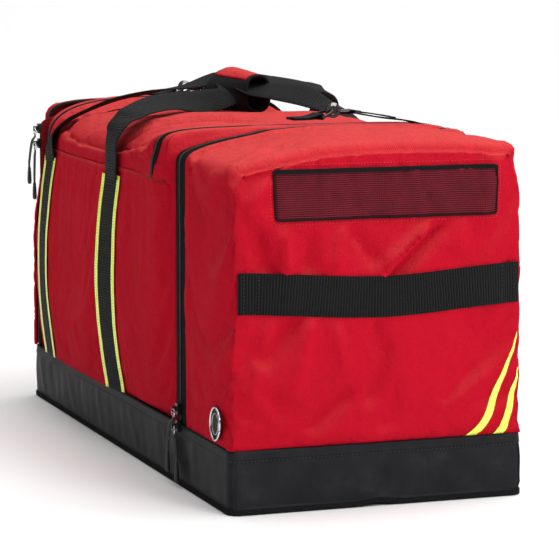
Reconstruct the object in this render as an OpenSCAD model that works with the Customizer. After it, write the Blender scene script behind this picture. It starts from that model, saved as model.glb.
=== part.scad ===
// Rescue kit holdall: a long soft bag on a wipe-clean base tub, with a domed lid, a deep zipped pocket at
// the near end (+X), a shallow one at the far end (-X), webbing carrying handles and a shoulder strap.
// Origin at the bottom centre, +X towards the near pocket, +Z up.

/* [Body] */
// Length of the bag between its two end faces
bag_l = 927; // [900:5:960]
// Width of the base tub and the end pockets
base_w = 380; // [370:2:390]
// Height of the base tub
base_h = 78; // [70:1:84]
// Thickness of the padded fabric walls
wall = 4; // [3:0.5:5]
// How far the side panels bulge past the base
side_bulge = 13; // [11:1:13]
// Height of the seam where lid and side panels meet
seam_z = 384; // [380:1:384]
// Height of the lid's crown
crown_z = 456; // [448:1:456]

/* [Compartments] */
// Where the main compartment ends at the near pocket
main_x1 = 246; // [240:1:250]
// Where the main compartment ends at the far pocket
main_x0 = -438; // [-440:1:-436]
// Near end of the lid
lid_x1 = 181; // [178:1:182]
// Far end of the lid
lid_x0 = -388; // [-389:1:-386]
// Height of the end pockets' crown
pocket_crown_z = 444; // [438:1:446]
// Width of each half of the near zip's tape
near_tape_w = 18; // [14:1:18]
// Width of each half of the other zips' tapes
tape_w = 7; // [5:1:7]

/* [Webbing] */
// Width of the handle and side webbing
web_w = 50; // [44:1:50]
// Width of the black part of the side straps
side_web_w = 44; // [40:1:44]
// Width of the reflective piping on the side straps' edges
piping_w = 9; // [7:0.5:9]
// Thickness of the webbing
web_t = 2.5; // [2:0.5:2.5]
// Width of the shoulder strap
strap_w = 38; // [34:1:38]
// Middle of the near side strap
near_leg_x = -15; // [-20:1:-10]
// Middle of the far side strap
far_leg_x = -345; // [-350:1:-340]

/* [Grip] */
// Middle of the grip cuff along the bag
grip_x = -165; // [-170:1:-160]
// Middle of the grip cuff across the bag
grip_y = 28; // [26:1:30]
// Length of the grip cuff
cuff_l = 90; // [80:1:90]

/* [Hidden] */

$fn = 48;
end_x = bag_l / 2;
base_hw = base_w / 2;
main_hw = base_hw + 6;
corner_r = 12;
floor_t = 3;
board_t = 3;
gap = 0.4;
tape_t = 1.5;
board_z = floor_t + 0.2;
divider_z = board_z + board_t + 0.2;
bulge_z = 230;
leg_top_z = 370;
pocket_arch_z = 400;
pocket_x0 = main_x1 + 2 * near_tape_w + 2 * gap;
far_tape_x = main_x0 - 2 * tape_w - 2 * gap;
zip_x = main_x1 + near_tape_w + gap / 2;
far_zip_x = main_x0 - tape_w - gap / 2;
lid_slider_x = lid_x0 - 6.2;

// Dome rounded towards the sides, as [y, z] points from the left foot to the right foot
function dome(hw, z0, z1, power, steps = 24) = [for (i = [0:steps])
    let (a = 180 * i / steps, c = cos(a), s = max(sin(a), 0))
    [-sign(c) * hw * pow(abs(c), 2 / power), z0 + (z1 - z0) * pow(s, 2 / power)]];

function backwards(list) = [for (i = [len(list) - 1:-1:0]) list[i]];

// Extrudes a [y, z] outline along X
module along_x(x0, x1) translate([x0, 0, 0]) rotate([90, 0, 90]) linear_extrude(x1 - x0) children();

// Arched band of thickness t, as a [y, z] outline, that stands on legs down to foot
module band(hw, foot, z0, z1, power, t) {
    outer = concat([[-hw, foot]], dome(hw, z0, z1, power), [[hw, foot]]);
    inner = concat([[-hw + t, foot]], dome(hw - t, z0, z1 - t, power), [[hw - t, foot]]);
    polygon(concat(outer, backwards(inner)));
}

module main_band(t) band(main_hw, seam_z - 0.4, seam_z, crown_z, 3, t);
module pocket_band(t) band(base_hw, base_h + 0.4, pocket_arch_z, pocket_crown_z, 6, t);

// Block with round vertical edges
module round_block(l, w, h, r) {
    translate([-l / 2, -w / 2 + r, 0]) cube([l, w - 2 * r, h]);
    translate([-l / 2 + r, -w / 2, 0]) cube([l - 2 * r, w, h]);
    for (x = [-1, 1], y = [-1, 1]) translate([x * (l / 2 - r), y * (w / 2 - r), 0]) cylinder(r = r, h = h);
}

// Flat ribbon swept along points: each has its place, its face's direction and its width
function ribbon_ring(points, normals, widths, t, i) =
    let (a = points[max(i - 1, 0)], b = points[min(i + 1, len(points) - 1)],
        side = cross(b - a, normals[i]), s = side / norm(side) * widths[i] / 2,
        up = cross(side, b - a), u = up / norm(up) * t / 2)
    [points[i] - s - u, points[i] + s - u, points[i] + s + u, points[i] - s + u];

module ribbon(points, normals, widths, t = web_t) {
    n = len(points);
    rings = [for (i = [0:n - 1]) each ribbon_ring(points, normals, widths, t, i)];
    walls = [for (i = [0:n - 2], k = [0:3])
        [4 * i + k, 4 * i + (k + 1) % 4, 4 * i + 4 + (k + 1) % 4, 4 * i + 4 + k]];
    split = [for (w = walls) each [[w[0], w[1], w[2]], [w[0], w[2], w[3]]]];
    last = 4 * n - 4;
    polyhedron(rings, concat([[3, 2, 1, 0]], split, [[last, last + 1, last + 2, last + 3]]), convexity = 4);
}

// Round tube that runs mostly downwards through points
module hanging_tube(points, r, sides = 8) {
    n = len(points);
    rings = [for (p = points, k = [0:sides - 1])
        p + r * [cos(360 * k / sides), sin(360 * k / sides), 0]];
    walls = [for (i = [0:n - 2], k = [0:sides - 1]) let (m = (k + 1) % sides)
        each [[i * sides + k, (i + 1) * sides + m, (i + 1) * sides + k],
            [i * sides + k, i * sides + m, (i + 1) * sides + m]]];
    top = [for (k = [sides - 1:-1:0]) k];
    bottom = [for (k = [0:sides - 1]) (n - 1) * sides + k];
    polyhedron(rings, concat([backwards(top)], walls, [backwards(bottom)]));
}

// ---- Bag body ----

module base_tub() color([0.13, 0.14, 0.16]) difference() {
    round_block(bag_l, base_w, base_h, corner_r);
    translate([0, 0, floor_t]) round_block(bag_l - 2 * wall, base_w - 2 * wall, base_h, corner_r - wall);
}

module base_board() color([0.2, 0.2, 0.2]) translate([0, 0, board_z])
    round_block(bag_l - 3 * wall, base_w - 3 * wall, board_t, corner_r - wall);

// Side panel on the left (-Y), between two heights, t thick
module side_wall(z0, z1, t) along_x(main_x0 + wall, main_x1 - wall) intersection() {
    polygon([[-base_hw, base_h], [-base_hw - side_bulge, bulge_z], [-main_hw, seam_z - gap],
        [-main_hw + t, seam_z - gap], [-base_hw - side_bulge + t, bulge_z], [-base_hw + t, base_h]]);
    translate([-2 * base_hw, z0]) square([2 * base_hw, z1 - z0]);
}

module side_panel_left() color([0.75, 0.05, 0.06]) side_wall(base_h, seam_z - gap, wall);

module side_panel_right() color([0.75, 0.05, 0.06]) mirror([0, 1, 0])
    side_wall(base_h, seam_z - gap - tape_w, wall);

module divider(x) color([0.7, 0.06, 0.07]) along_x(x, x + wall) {
    inset = wall + 0.4;
    polygon(concat([[-base_hw + inset, divider_z], [-base_hw + inset, base_h + 0.4], [-base_hw, base_h + 0.4]],
        dome(base_hw, pocket_arch_z, pocket_crown_z, 6),
        [[base_hw, base_h + 0.4], [base_hw - inset, base_h + 0.4], [base_hw - inset, divider_z]]));
}

module near_divider() divider(main_x1 - wall);
module far_divider() divider(main_x0);

module near_top_strip() color([0.85, 0.07, 0.08])
    along_x(lid_x1 + tape_w + gap, main_x1 - wall) main_band(wall);
module far_top_strip() color([0.85, 0.07, 0.08])
    along_x(main_x0 + wall, lid_x0 - tape_w - gap) main_band(wall);

module lid_zip_bag_tape() color([0.06, 0.06, 0.06]) {
    along_x(lid_x1 + gap, lid_x1 + gap + tape_w) main_band(tape_t);
    along_x(lid_x0 - gap - tape_w, lid_x0 - gap) main_band(tape_t);
    mirror([0, 1, 0]) side_wall(seam_z - gap - tape_w, seam_z - gap, tape_t);
}

module near_zip_bag_tape() color([0.06, 0.06, 0.06])
    along_x(main_x1, main_x1 + near_tape_w) pocket_band(tape_t);
module far_zip_bag_tape() color([0.06, 0.06, 0.06])
    along_x(main_x0 - tape_w, main_x0) pocket_band(tape_t);

// One side strap, w wide and t thick, sewn up the left side panel with its middle at x
module side_strap(x, w, t) translate([x - w / 2, 0, 0]) rotate([90, 0, 90]) linear_extrude(w)
    let (top_y = -main_hw - (seam_z - leg_top_z) * (side_bulge - 6) / (seam_z - bulge_z))
    polygon([[-base_hw, base_h], [-base_hw - side_bulge, bulge_z], [top_y, leg_top_z],
        [top_y - t, leg_top_z], [-base_hw - side_bulge - t, bulge_z], [-base_hw - t, base_h]]);

module side_straps() for (x = [near_leg_x, far_leg_x]) side_strap(x, side_web_w, web_t);
module side_straps_left() color([0.06, 0.06, 0.06]) side_straps();
module side_straps_right() color([0.06, 0.06, 0.06]) mirror([0, 1, 0]) side_straps();

module reflective_piping() color([0.85, 0.95, 0.2])
    for (m = [0, 1], x = [near_leg_x, far_leg_x], e = [-1, 1])
        mirror([0, m, 0]) side_strap(x + e * (side_web_w + piping_w + 0.4) / 2, piping_w, web_t + 0.5);

// ---- Carrying handles ----

// Shares of the way from a leg's root to the grip, along and across the bag, with heights and widths
reach_x = [0, 0, 0.02, 0.06, 0.17, 0.38, 0.7, 1];
reach_y = [0, -0.035, -0.02, 0.09, 0.31, 0.6, 0.86, 0.965];
leg_z = [374, 400, 428, 452, 466, 476, 481, 482];
leg_w = [50, 50, 50, 50, 48, 42, 32, 24];
leg_up = [0, 0, 0.9, 2, 4, 8, 20, 20];
root_y = base_hw + 10;

// Half a handle: side is -1 on the left, 1 on the right, and drop lowers the bar
function leg(side, root_x, end_x, drop) = [for (i = [0:7])
    [root_x + (end_x - root_x) * reach_x[i],
        side * root_y + (grip_y - side * root_y) * reach_y[i],
        leg_z[i] - drop * (i < 4 ? 0 : (i - 3) / 4)]];

module handle(side, drop) {
    bar = cuff_l / 2 + 2;
    near = leg(side, near_leg_x, grip_x + bar, drop);
    far = leg(side, far_leg_x, grip_x - bar, drop);
    up = [for (i = [0:7]) [0, side, leg_up[i]]];
    ribbon(concat(near, backwards(far)), concat(up, backwards(up)), concat(leg_w, backwards(leg_w)));
}

module handle_left() color([0.07, 0.07, 0.07]) handle(-1, 0);
module handle_right() color([0.07, 0.07, 0.07]) handle(1, 9);

cuff_z = [460, 508];

module grip_cuff() color([0.1, 0.1, 0.1]) difference() {
    side = 27;
    rim = 5;
    translate([grip_x - cuff_l / 2, grip_y - side, cuff_z[0]]) cube([cuff_l, 2 * side, cuff_z[1] - cuff_z[0]]);
    translate([grip_x - cuff_l / 2 - 1, grip_y - side + rim, cuff_z[0] + rim])
        cube([cuff_l + 2, 2 * (side - rim), cuff_z[1] - cuff_z[0] - 2 * rim]);
}

module cuff_patch() color([0.7, 0.05, 0.06])
    translate([grip_x - 28, grip_y - 15, cuff_z[1]]) cube([56, 30, 2.5]);

// ---- Lid ----

// The lid's outline with its three zipped edges kept, or everything but them
module lid_shell(t) along_x(lid_x0, lid_x1) main_band(t);
module lid_edges() {
    far_side = 400;
    translate([lid_x0 - 1, -far_side / 2, 0]) cube([tape_w + 1, far_side, far_side * 2]);
    translate([lid_x1 - tape_w, -far_side / 2, 0]) cube([tape_w + 1, far_side, far_side * 2]);
    translate([lid_x0 - 1, 0, seam_z - 1]) cube([bag_l, far_side, tape_w + 1]);
}
module lid_panel() color([0.85, 0.07, 0.08]) difference() {
    lid_shell(wall);
    lid_edges();
}
module lid_zip_lid_tape() color([0.06, 0.06, 0.06]) intersection() {
    lid_shell(tape_t);
    lid_edges();
}

// ---- Near pocket ----

window_y = [-138, 153];
window_z = [352, 415];
binding_w = 6;

// Rectangle in the end face's plane, grown by g, as a slab t thick from x
module face_slab(x, t, g) translate([x, window_y[0] - g, window_z[0] - g])
    cube([t, window_y[1] - window_y[0] + 2 * g, window_z[1] - window_z[0] + 2 * g]);

module near_end_panel() color([0.8, 0.06, 0.07]) difference() {
    along_x(end_x - wall, end_x)
        polygon(concat([[-base_hw, base_h + 0.4]], dome(base_hw, pocket_arch_z, pocket_crown_z, 6),
            [[base_hw, base_h + 0.4]]));
    face_slab(end_x - wall - 1, wall + 2, -binding_w);
}
module near_gusset() color([0.8, 0.06, 0.07]) along_x(pocket_x0, end_x - wall) pocket_band(wall);
module near_zip_pocket_tape() color([0.06, 0.06, 0.06])
    along_x(pocket_x0 - near_tape_w, pocket_x0) pocket_band(tape_t);
module mesh_window() color([0.3, 0.05, 0.08]) face_slab(end_x - wall - 1.2, 1.2, 4);
module mesh_binding() color([0.06, 0.06, 0.06]) difference() {
    face_slab(end_x, 1.4, 0);
    face_slab(end_x - 1, 4, -binding_w);
}

// Webbing grab handle sewn across an end face, bowed out in its middle
module end_handle() {
    bow = 9.3;
    seat = web_t / 2;
    path = [for (i = [-6:6]) let (y = i * 182 / 6, b = pow(cos(i * 15), 2))
        [end_x + seat + bow * b + 0.2, y, 268 - 9 * b]];
    ribbon(path, [for (p = path) [1, 0, 0]], [for (p = path) web_w]);
}
module near_end_handle() color([0.08, 0.08, 0.08]) end_handle();
module far_end_handle() color([0.08, 0.08, 0.08]) mirror([1, 0, 0]) end_handle();

// Reflective stripe that sweeps up and outwards from its foot to a pointed tip
module stripe(foot_y, tip) translate([end_x, 0, 0]) rotate([90, 0, 90]) linear_extrude(0.6)
    polygon(concat([for (s = [0:0.25:1]) [foot_y + (tip[0] - foot_y) * pow(s, 0.85), 82 + (tip[1] - 82) * s]],
        [for (s = [0.75:-0.25:0])
            [foot_y + 12 * (1 - s) + (tip[0] - foot_y) * pow(s, 0.85), 82 + (tip[1] - 82) * s]]));
module reflective_stripes() color([0.85, 0.95, 0.3]) {
    stripe(114, [181, 205]);
    stripe(151, [184, 160]);
}

module badge() color([0.6, 0.6, 0.62]) translate([430, -base_hw, 107]) rotate([90, 20, 0])
    linear_extrude(2.5) polygon([for (a = [0:12:348]) [19 * cos(a), 22 * sin(a)]]);

// ---- Far pocket ----

module far_shell() color([0.7, 0.05, 0.06]) {
    along_x(-end_x, -end_x + wall)
        polygon(concat([[-base_hw, base_h + 0.4]], dome(base_hw, pocket_arch_z, pocket_crown_z, 6),
            [[base_hw, base_h + 0.4]]));
    along_x(-end_x + wall, far_tape_x) pocket_band(wall);
}
module far_zip_pocket_tape() color([0.06, 0.06, 0.06])
    along_x(far_tape_x, far_tape_x + tape_w) pocket_band(tape_t);

// ---- Zip sliders, rings and cord pulls ----

// Middle of the bridge's hole, measured out from the surface that the slider runs on
bridge_out = 9;
slider_h = 14;
ring_r = 5;
ring_wire = 0.8;

// Slider on the left side (-Y): its back lies at y, its middle at height z
module slider(x, y, z) translate([x, y, z]) {
    translate([-4.5, -5, -slider_h / 2]) cube([9, 5, slider_h]);
    difference() {
        translate([-0.8, -bridge_out - 2.5, -3.5]) cube([1.6, bridge_out - 2.5, 7]);
        translate([-2, -bridge_out, 0]) rotate([0, 90, 0]) cylinder(r = 1.5, h = 4);
    }
}

module pull_ring(x, y, z) color([0.8, 0.8, 0.82]) translate([x, y - bridge_out, z - ring_r])
    rotate([90, 0, 0]) rotate_extrude() translate([ring_r, 0]) circle(ring_wire);

// Cord pull that hangs from its ring and ends in a moulded tip, dx to the side, out from the bag and down
module pull(x, y, z, dx, out, drop) color([0.05, 0.05, 0.05]) translate([x, y - bridge_out, z]) {
    tip_l = 26;
    top = -2 * ring_r - ring_wire - 0.2;
    hanging_tube([[0, 0, top], [dx, -out, top - 13], [dx, -out, tip_l - drop]], 2.2);
    translate([dx - 4, -out - 3, -drop]) cube([8, 6, tip_l]);
}

near_upper = [zip_x, -base_hw - gap, 98];
near_lower = [zip_x, -base_hw - gap, 76];
lid_lower = [lid_slider_x, -main_hw - gap, 389];
lid_upper = [lid_slider_x, -main_hw - gap, 411];
far_low = [far_zip_x, -base_hw - gap, 90];

module near_slider_upper() color([0.08, 0.08, 0.08]) slider(near_upper[0], near_upper[1], near_upper[2]);
module near_slider_lower() color([0.08, 0.08, 0.08]) slider(near_lower[0], near_lower[1], near_lower[2]);
module lid_slider_upper() color([0.08, 0.08, 0.08]) slider(lid_upper[0], lid_upper[1], lid_upper[2]);
module lid_slider_lower() color([0.08, 0.08, 0.08]) slider(lid_lower[0], lid_lower[1], lid_lower[2]);
module far_slider() color([0.08, 0.08, 0.08]) mirror([0, 1, 0]) slider(far_low[0], far_low[1], far_low[2]);

module near_ring_upper() pull_ring(near_upper[0], near_upper[1], near_upper[2]);
module near_ring_lower() pull_ring(near_lower[0], near_lower[1], near_lower[2]);
module lid_ring_upper() pull_ring(lid_upper[0], lid_upper[1], lid_upper[2]);
module lid_ring_lower() pull_ring(lid_lower[0], lid_lower[1], lid_lower[2]);
module far_ring() mirror([0, 1, 0]) pull_ring(far_low[0], far_low[1], far_low[2]);

module near_pull_upper() pull(near_upper[0], near_upper[1], near_upper[2], -13, 4, 82);
module near_pull_lower() pull(near_lower[0], near_lower[1], near_lower[2], 13, 0, 70);
module lid_pull_upper() pull(lid_upper[0], lid_upper[1], lid_upper[2], -20, 4, 84);
module lid_pull_lower() pull(lid_lower[0], lid_lower[1], lid_lower[2], -6, 0, 84);
module far_pull() mirror([0, 1, 0]) pull(far_low[0], far_low[1], far_low[2], 0, 0, 76);

// ---- Shoulder strap and its hardware ----

near_hook_x = 214;
far_hook_x = -415;
bar_y = 14;
bar_z = crown_z + 4.4;
d_r = 20;
d_wire = 2;
d_tilt = 20;
hook_y = bar_y + 20.5;
hook_z = crown_z + 11.4;
hook_out_r = 10;
hook_in_r = 6;
hook_t = 5;
gate_from = 50;
gate_to = 130;
gate_pin = 52;

module ring_tab(x) color([0.07, 0.07, 0.07]) translate([x, 0, 0]) {
    tab_w = 32;
    difference() {
        union() {
            translate([-tab_w / 2, -24, crown_z + 0.2]) cube([tab_w, 24 + bar_y, 2]);
            translate([-tab_w / 2, bar_y, bar_z]) rotate([0, 90, 0]) cylinder(r = 4.1, h = tab_w);
        }
        translate([-tab_w, bar_y, bar_z]) rotate([0, 90, 0]) cylinder(r = d_wire + 0.08, h = 2 * tab_w);
    }
}
module near_ring_tab() ring_tab(near_hook_x);
module far_ring_tab() ring_tab(far_hook_x);

module d_ring(x) color([0.15, 0.15, 0.16]) translate([x, bar_y, bar_z]) rotate([d_tilt, 0, 0]) {
    translate([-d_r - d_wire, 0, 0]) rotate([0, 90, 0]) cylinder(r = d_wire, h = 2 * (d_r + d_wire));
    rotate_extrude(angle = 180) translate([d_r, 0]) circle(d_wire);
}
module near_d_ring() d_ring(near_hook_x);
module far_d_ring() d_ring(far_hook_x);

// Wedge of the hook's ring between two angles, in the YZ plane
module hook_sector(x, a0, a1, r, t) translate([x - t / 2, hook_y, hook_z]) rotate([90, 0, 90])
    linear_extrude(t) polygon(concat([[0, 0]], [for (a = [a0:(a1 - a0) / 4:a1]) r * [cos(a), sin(a)]]));

module hook_ring(x) translate([x - hook_t / 2, hook_y, hook_z]) rotate([0, 90, 0]) difference() {
    cylinder(r = hook_out_r, h = hook_t);
    translate([0, 0, -1]) cylinder(r = hook_in_r, h = hook_t + 2);
}

eye_y = hook_y + 24;
eye_l = 8;

// Disc about the gate's hinge, which the gate's free end stays inside as it swings
module gate_reach(x, r) translate([x - hook_t, hook_y + 8 * cos(gate_pin), hook_z + 8 * sin(gate_pin)])
    rotate([0, 90, 0]) cylinder(r = r, h = 2 * hook_t);

module hook(x) color([0.1, 0.1, 0.11]) {
    eye_w = strap_w + 6;
    eye_h = 4;
    difference() {
        hook_ring(x);
        intersection() {
            hook_sector(x, gate_from, gate_to, 30, hook_t + 2);
            gate_reach(x, 8.4);
        }
    }
    translate([x, hook_y + hook_out_r - 1, hook_z - 2]) rotate([-90, 0, 0]) cylinder(r = 3.5, h = 15);
    translate([x - eye_w / 2, eye_y - 1, hook_z - 4]) difference() {
        cube([eye_w, eye_l, eye_h]);
        translate([2.5, 2.5, -1]) cube([eye_w - 5, eye_l - 5, eye_h + 2]);
    }
}
module near_hook() hook(near_hook_x);
module far_hook() hook(far_hook_x);

module hook_gate(x) color([0.75, 0.75, 0.78]) intersection() {
    hook_ring(x);
    hook_sector(x, gate_from + 8, gate_to, 30, hook_t - 1.6);
    gate_reach(x, 8);
}
module near_hook_gate() hook_gate(near_hook_x);
module far_hook_gate() hook_gate(far_hook_x);

// The strap leaves each hook across the top, turns down over the edge and hangs along the right side
strap_y = main_hw + 12;
strap_low_z = 150;
over_edge = [[66.5, 463], [100, 457], [140, 451.5], [168, 441], [188, 424], [201, 402]];
edge_up = [[0.12, 1], [0.1, 1], [0.2, 1], [0.45, 1], [0.9, 0.8], [1, 0.25]];

module shoulder_strap() color([0.06, 0.06, 0.06]) {
    mid = (near_hook_x + far_hook_x) / 2;
    half = (near_hook_x - far_hook_x) / 2;
    hang = [for (i = [-10:10]) let (s = -i / 10)
        [mid + half * sign(s) * pow(abs(s), 0.9), strap_y, strap_low_z + 216 * pow(abs(s), 2.6)]];
    near = [for (p = over_edge) [near_hook_x, p[0], p[1]]];
    far = [for (p = over_edge) [far_hook_x, p[0], p[1]]];
    up = [for (n = edge_up) [0, n[0], n[1]]];
    path = concat(near, hang, backwards(far));
    ribbon(path, concat(up, [for (p = hang) [0, 1, 0]], backwards(up)), [for (p = path) strap_w], 2);
}

module strap_adjuster() color([0.08, 0.08, 0.08]) {
    frame_w = strap_w + 8;
    at = [(near_hook_x + far_hook_x) / 2, strap_y, strap_low_z];
    for (e = [-1, 1]) translate(at + [-16, -1, e * (frame_w / 2 - 2) - 1.7]) cube([32, 2, 3.4]);
}

base_tub();
base_board();
side_panel_left();
side_panel_right();
near_divider();
far_divider();
near_top_strip();
far_top_strip();
lid_zip_bag_tape();
near_zip_bag_tape();
far_zip_bag_tape();
side_straps_left();
side_straps_right();
reflective_piping();
handle_right();
near_ring_tab();
far_ring_tab();
near_hook();
far_hook();
shoulder_strap();
strap_adjuster();
lid_panel();
lid_zip_lid_tape();
handle_left();
grip_cuff();
cuff_patch();
near_end_panel();
near_gusset();
near_zip_pocket_tape();
mesh_window();
mesh_binding();
near_end_handle();
reflective_stripes();
badge();
far_shell();
far_zip_pocket_tape();
far_end_handle();
near_slider_upper();
near_slider_lower();
lid_slider_upper();
lid_slider_lower();
far_slider();
near_ring_upper();
near_ring_lower();
lid_ring_upper();
lid_ring_lower();
far_ring();
near_pull_upper();
near_pull_lower();
lid_pull_upper();
lid_pull_lower();
far_pull();
near_d_ring();
far_d_ring();
near_hook_gate();
far_hook_gate();
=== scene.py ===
"""Looks of a large rescue kit holdall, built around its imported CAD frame. Lengths are in metres."""
import math

import bpy
import numpy as np
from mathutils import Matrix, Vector, noise
from mathutils.bvhtree import BVHTree


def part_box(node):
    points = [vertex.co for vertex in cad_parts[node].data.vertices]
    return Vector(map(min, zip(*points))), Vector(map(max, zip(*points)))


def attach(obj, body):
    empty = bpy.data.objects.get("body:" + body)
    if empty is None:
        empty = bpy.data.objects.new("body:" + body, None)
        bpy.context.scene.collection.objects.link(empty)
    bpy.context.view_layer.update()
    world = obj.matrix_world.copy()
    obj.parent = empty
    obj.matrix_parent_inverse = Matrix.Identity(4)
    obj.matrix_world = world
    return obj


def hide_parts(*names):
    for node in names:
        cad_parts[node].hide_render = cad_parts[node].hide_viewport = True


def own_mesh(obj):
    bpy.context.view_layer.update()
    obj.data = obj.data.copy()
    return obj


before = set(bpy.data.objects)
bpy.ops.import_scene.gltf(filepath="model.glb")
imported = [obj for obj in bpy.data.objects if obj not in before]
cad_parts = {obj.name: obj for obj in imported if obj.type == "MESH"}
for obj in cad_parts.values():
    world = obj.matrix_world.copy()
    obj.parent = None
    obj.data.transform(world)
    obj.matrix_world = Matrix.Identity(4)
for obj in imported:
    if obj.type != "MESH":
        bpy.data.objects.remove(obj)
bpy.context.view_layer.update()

MM = 0.001
LEFT, RIGHT = -1, 1

# ---- Camera: low, from the near end, with the left side receding ----

bpy.context.scene.view_settings.view_transform = "Standard"
camera_data = bpy.data.cameras.new("camera")
camera_data.lens = 167.4
camera = bpy.data.objects.new("camera", camera_data)
bpy.context.scene.collection.objects.link(camera)
bpy.context.scene.camera = camera
camera.location = (3.355, -1.170, 0.669)
look_at = Vector((0.0315, 0.027, 0.229))
camera.rotation_euler = (look_at - camera.location).to_track_quat("-Z", "Y").to_euler()

# ---- Driving places, read from the frame ----

end_lo, end_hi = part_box("near_end_panel")
gusset_lo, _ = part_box("near_gusset")
_, tub_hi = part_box("base_tub")
lid_lo, lid_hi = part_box("lid_zip_lid_tape")
bag_tape_lo, bag_tape_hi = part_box("near_zip_bag_tape")
far_tape_lo, far_tape_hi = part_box("far_zip_bag_tape")
far_lo, far_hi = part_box("far_shell")

HALF_W = tub_hi.y
TUB_H = tub_hi.z
END_X = end_hi.x
FOOT_Z = end_lo.z
POCKET_X0 = gusset_lo.x
MAIN_X1 = bag_tape_lo.x
MAIN_X0 = far_tape_hi.x
SEAM_Z = lid_lo.z
MAIN_HALF_W = lid_hi.y
ARCH_Z = 0.400
POCKET_CROWN = end_hi.z
LID_CROWN = lid_hi.z


# ---- Materials ----

class Look:
    """A shader tree in the making: its methods add nodes and give back their output sockets."""

    def __init__(self, tree):
        self.nodes, self.links = tree.nodes, tree.links

    def wire(self, value, socket):
        """Puts value on a socket: another socket, a number or a colour; None leaves it as it is."""
        if isinstance(value, bpy.types.NodeSocket):
            self.links.new(value, socket)
        elif value is not None:
            socket.default_value = value

    def add(self, kind, **inputs):
        node = self.nodes.new("ShaderNode" + kind)
        for name, value in inputs.items():
            self.wire(value, node.inputs[name])
        return node

    def maths(self, operation, a, b=None):
        node = self.add("Math")
        node.operation = operation
        self.wire(a, node.inputs[0])
        self.wire(b, node.inputs[1])
        return node.outputs[0]

    def times(self, a, b):
        return self.maths("MULTIPLY", a, b)

    def plus(self, a, b):
        return self.maths("ADD", a, b)

    def wave(self, value, pitch):
        return self.maths("SINE", self.times(value, math.pi / pitch))

    def noise(self, vector, scale, detail=3.0, roughness=0.55):
        node = self.add("TexNoise", Vector=vector, Scale=scale, Detail=detail, Roughness=roughness)
        return node.outputs["Fac"]

    def ramp(self, factor, stops):
        """A colour ramp; stops are (position, (r, g, b))."""
        node = self.add("ValToRGB", Fac=factor)
        elements = node.color_ramp.elements
        while len(elements) < len(stops):
            elements.new(0.5)
        for element, (position, colour) in zip(elements, stops):
            element.position = position
            element.color = (*colour, 1)
        return node.outputs["Color"]


class Surface(Look):
    """A new material with a Principled shader."""

    def __init__(self, name, colour, roughness, specular=0.5, metallic=0.0):
        self.material = bpy.data.materials.new(name)
        self.material.use_nodes = True
        super().__init__(self.material.node_tree)
        self.colour = colour
        self.set(Base_Color=(*colour, 1), Roughness=roughness, Metallic=metallic,
                 Specular_IOR_Level=specular)

    def set(self, **inputs):
        """Sets inputs of the Principled shader, named with _ for each space."""
        for name, value in inputs.items():
            self.wire(value, self.nodes["Principled BSDF"].inputs[name.replace("_", " ")])

    def places(self):
        """The UV map in metres, split into u and v, and the object coordinates."""
        node = self.add("TexCoord")
        split = self.add("SeparateXYZ", Vector=node.outputs["UV"])
        return split.outputs[0], split.outputs[1], node.outputs["Object"]

    def tones(self, factor, *stops):
        """Colours the surface along factor; stops are (position, share of the colour)."""
        self.set(Base_Color=self.ramp(factor, [(at, scaled(self.colour, k)) for at, k in stops]))

    def bump(self, height, strength, distance, under=None):
        """Lays a relief on the surface, over another one if under is given."""
        relief = self.add("Bump", Height=height, Strength=strength, Distance=distance, Normal=under)
        self.set(Normal=relief.outputs["Normal"])
        return relief.outputs["Normal"]


def scaled(colour, k):
    return tuple(min(1.0, c * k) for c in colour)


def woven_fabric(name, colour, pitch=1.3 * MM, contrast=0.22, sheen=0.03, painted_top_colour=None):
    """Plain-woven polyester: crossing yarns, a speckle of yarn colour, a slow drift of tone and, when a top
    colour is given, painted light that makes up-facing cloth paler.
    """
    look = Surface(name, colour, 0.85, specular=0.05)
    look.set(Sheen_Weight=sheen, Sheen_Roughness=0.45, Sheen_Tint=(*scaled(colour, 1.6), 1))
    u, v, place = look.places()
    weave = look.times(look.wave(u, pitch), look.wave(v, pitch))
    shade = look.times(weave, 0.5 * contrast)
    shade = look.plus(shade, look.times(look.noise(place, 560, 3.0, 0.8), 1.5 * contrast))
    shade = look.plus(shade, look.times(look.noise(place, 9), 0.5 * contrast))
    stops = [(0.0, scaled(colour, 1 - 1.1 * contrast)), (0.5 * contrast + 0.2, colour),
             (min(1.0, 2.2 * contrast + 0.25), scaled(colour, 1 + 1.3 * contrast))]
    yarn = look.ramp(shade, stops)
    # Painted light: up-facing cloth is mixed towards a paler, pinker colour, which stands in for the
    # overhead light and sheen that fall on the top.
    if painted_top_colour:
        facing = look.add("SeparateXYZ", Vector=look.add("TexCoord").outputs["Normal"])
        upward = look.maths("MAXIMUM", facing.outputs[2], 0.0)
        painted_top_ramp = look.ramp(shade, [(at, scaled(painted_top_colour, c[0] / colour[0])) for at, c in stops])
        blend = look.add("Mix")
        blend.data_type = "RGBA"
        for socket, value in (("Factor", look.maths("POWER", upward, 1.5)), ("A", yarn), ("B", painted_top_ramp)):
            look.wire(value, blend.inputs[socket])
        yarn = blend.outputs["Result"]
    look.set(Base_Color=yarn)
    fine = look.bump(weave, 0.55, 0.35 * MM)
    fine = look.bump(look.noise(place, 380, 2.0), 0.8, 1.4 * MM, fine)
    look.bump(look.noise(place, 32, 4.0), 0.8, 9 * MM, fine)
    return look.material


def tarpaulin(name, colour):
    """PVC-coated base cloth: a faint scrim grid under a satin coat, with scuffs."""
    look = Surface(name, colour, 0.6, specular=0.06)
    u, v, place = look.places()
    scuff = look.noise(place, 26, 6.0, 0.65)
    look.tones(scuff, (0.3, 0.75), (0.55, 1), (0.8, 1.7))
    look.set(Roughness=look.plus(look.times(scuff, 0.35), 0.30))
    scrim = look.maths("MAXIMUM", look.wave(u, 1.6 * MM), look.wave(v, 1.6 * MM))
    look.bump(look.noise(place, 700, 2.0), 0.3, 0.25 * MM, look.bump(scrim, 0.25, 0.15 * MM))
    return look.material


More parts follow.
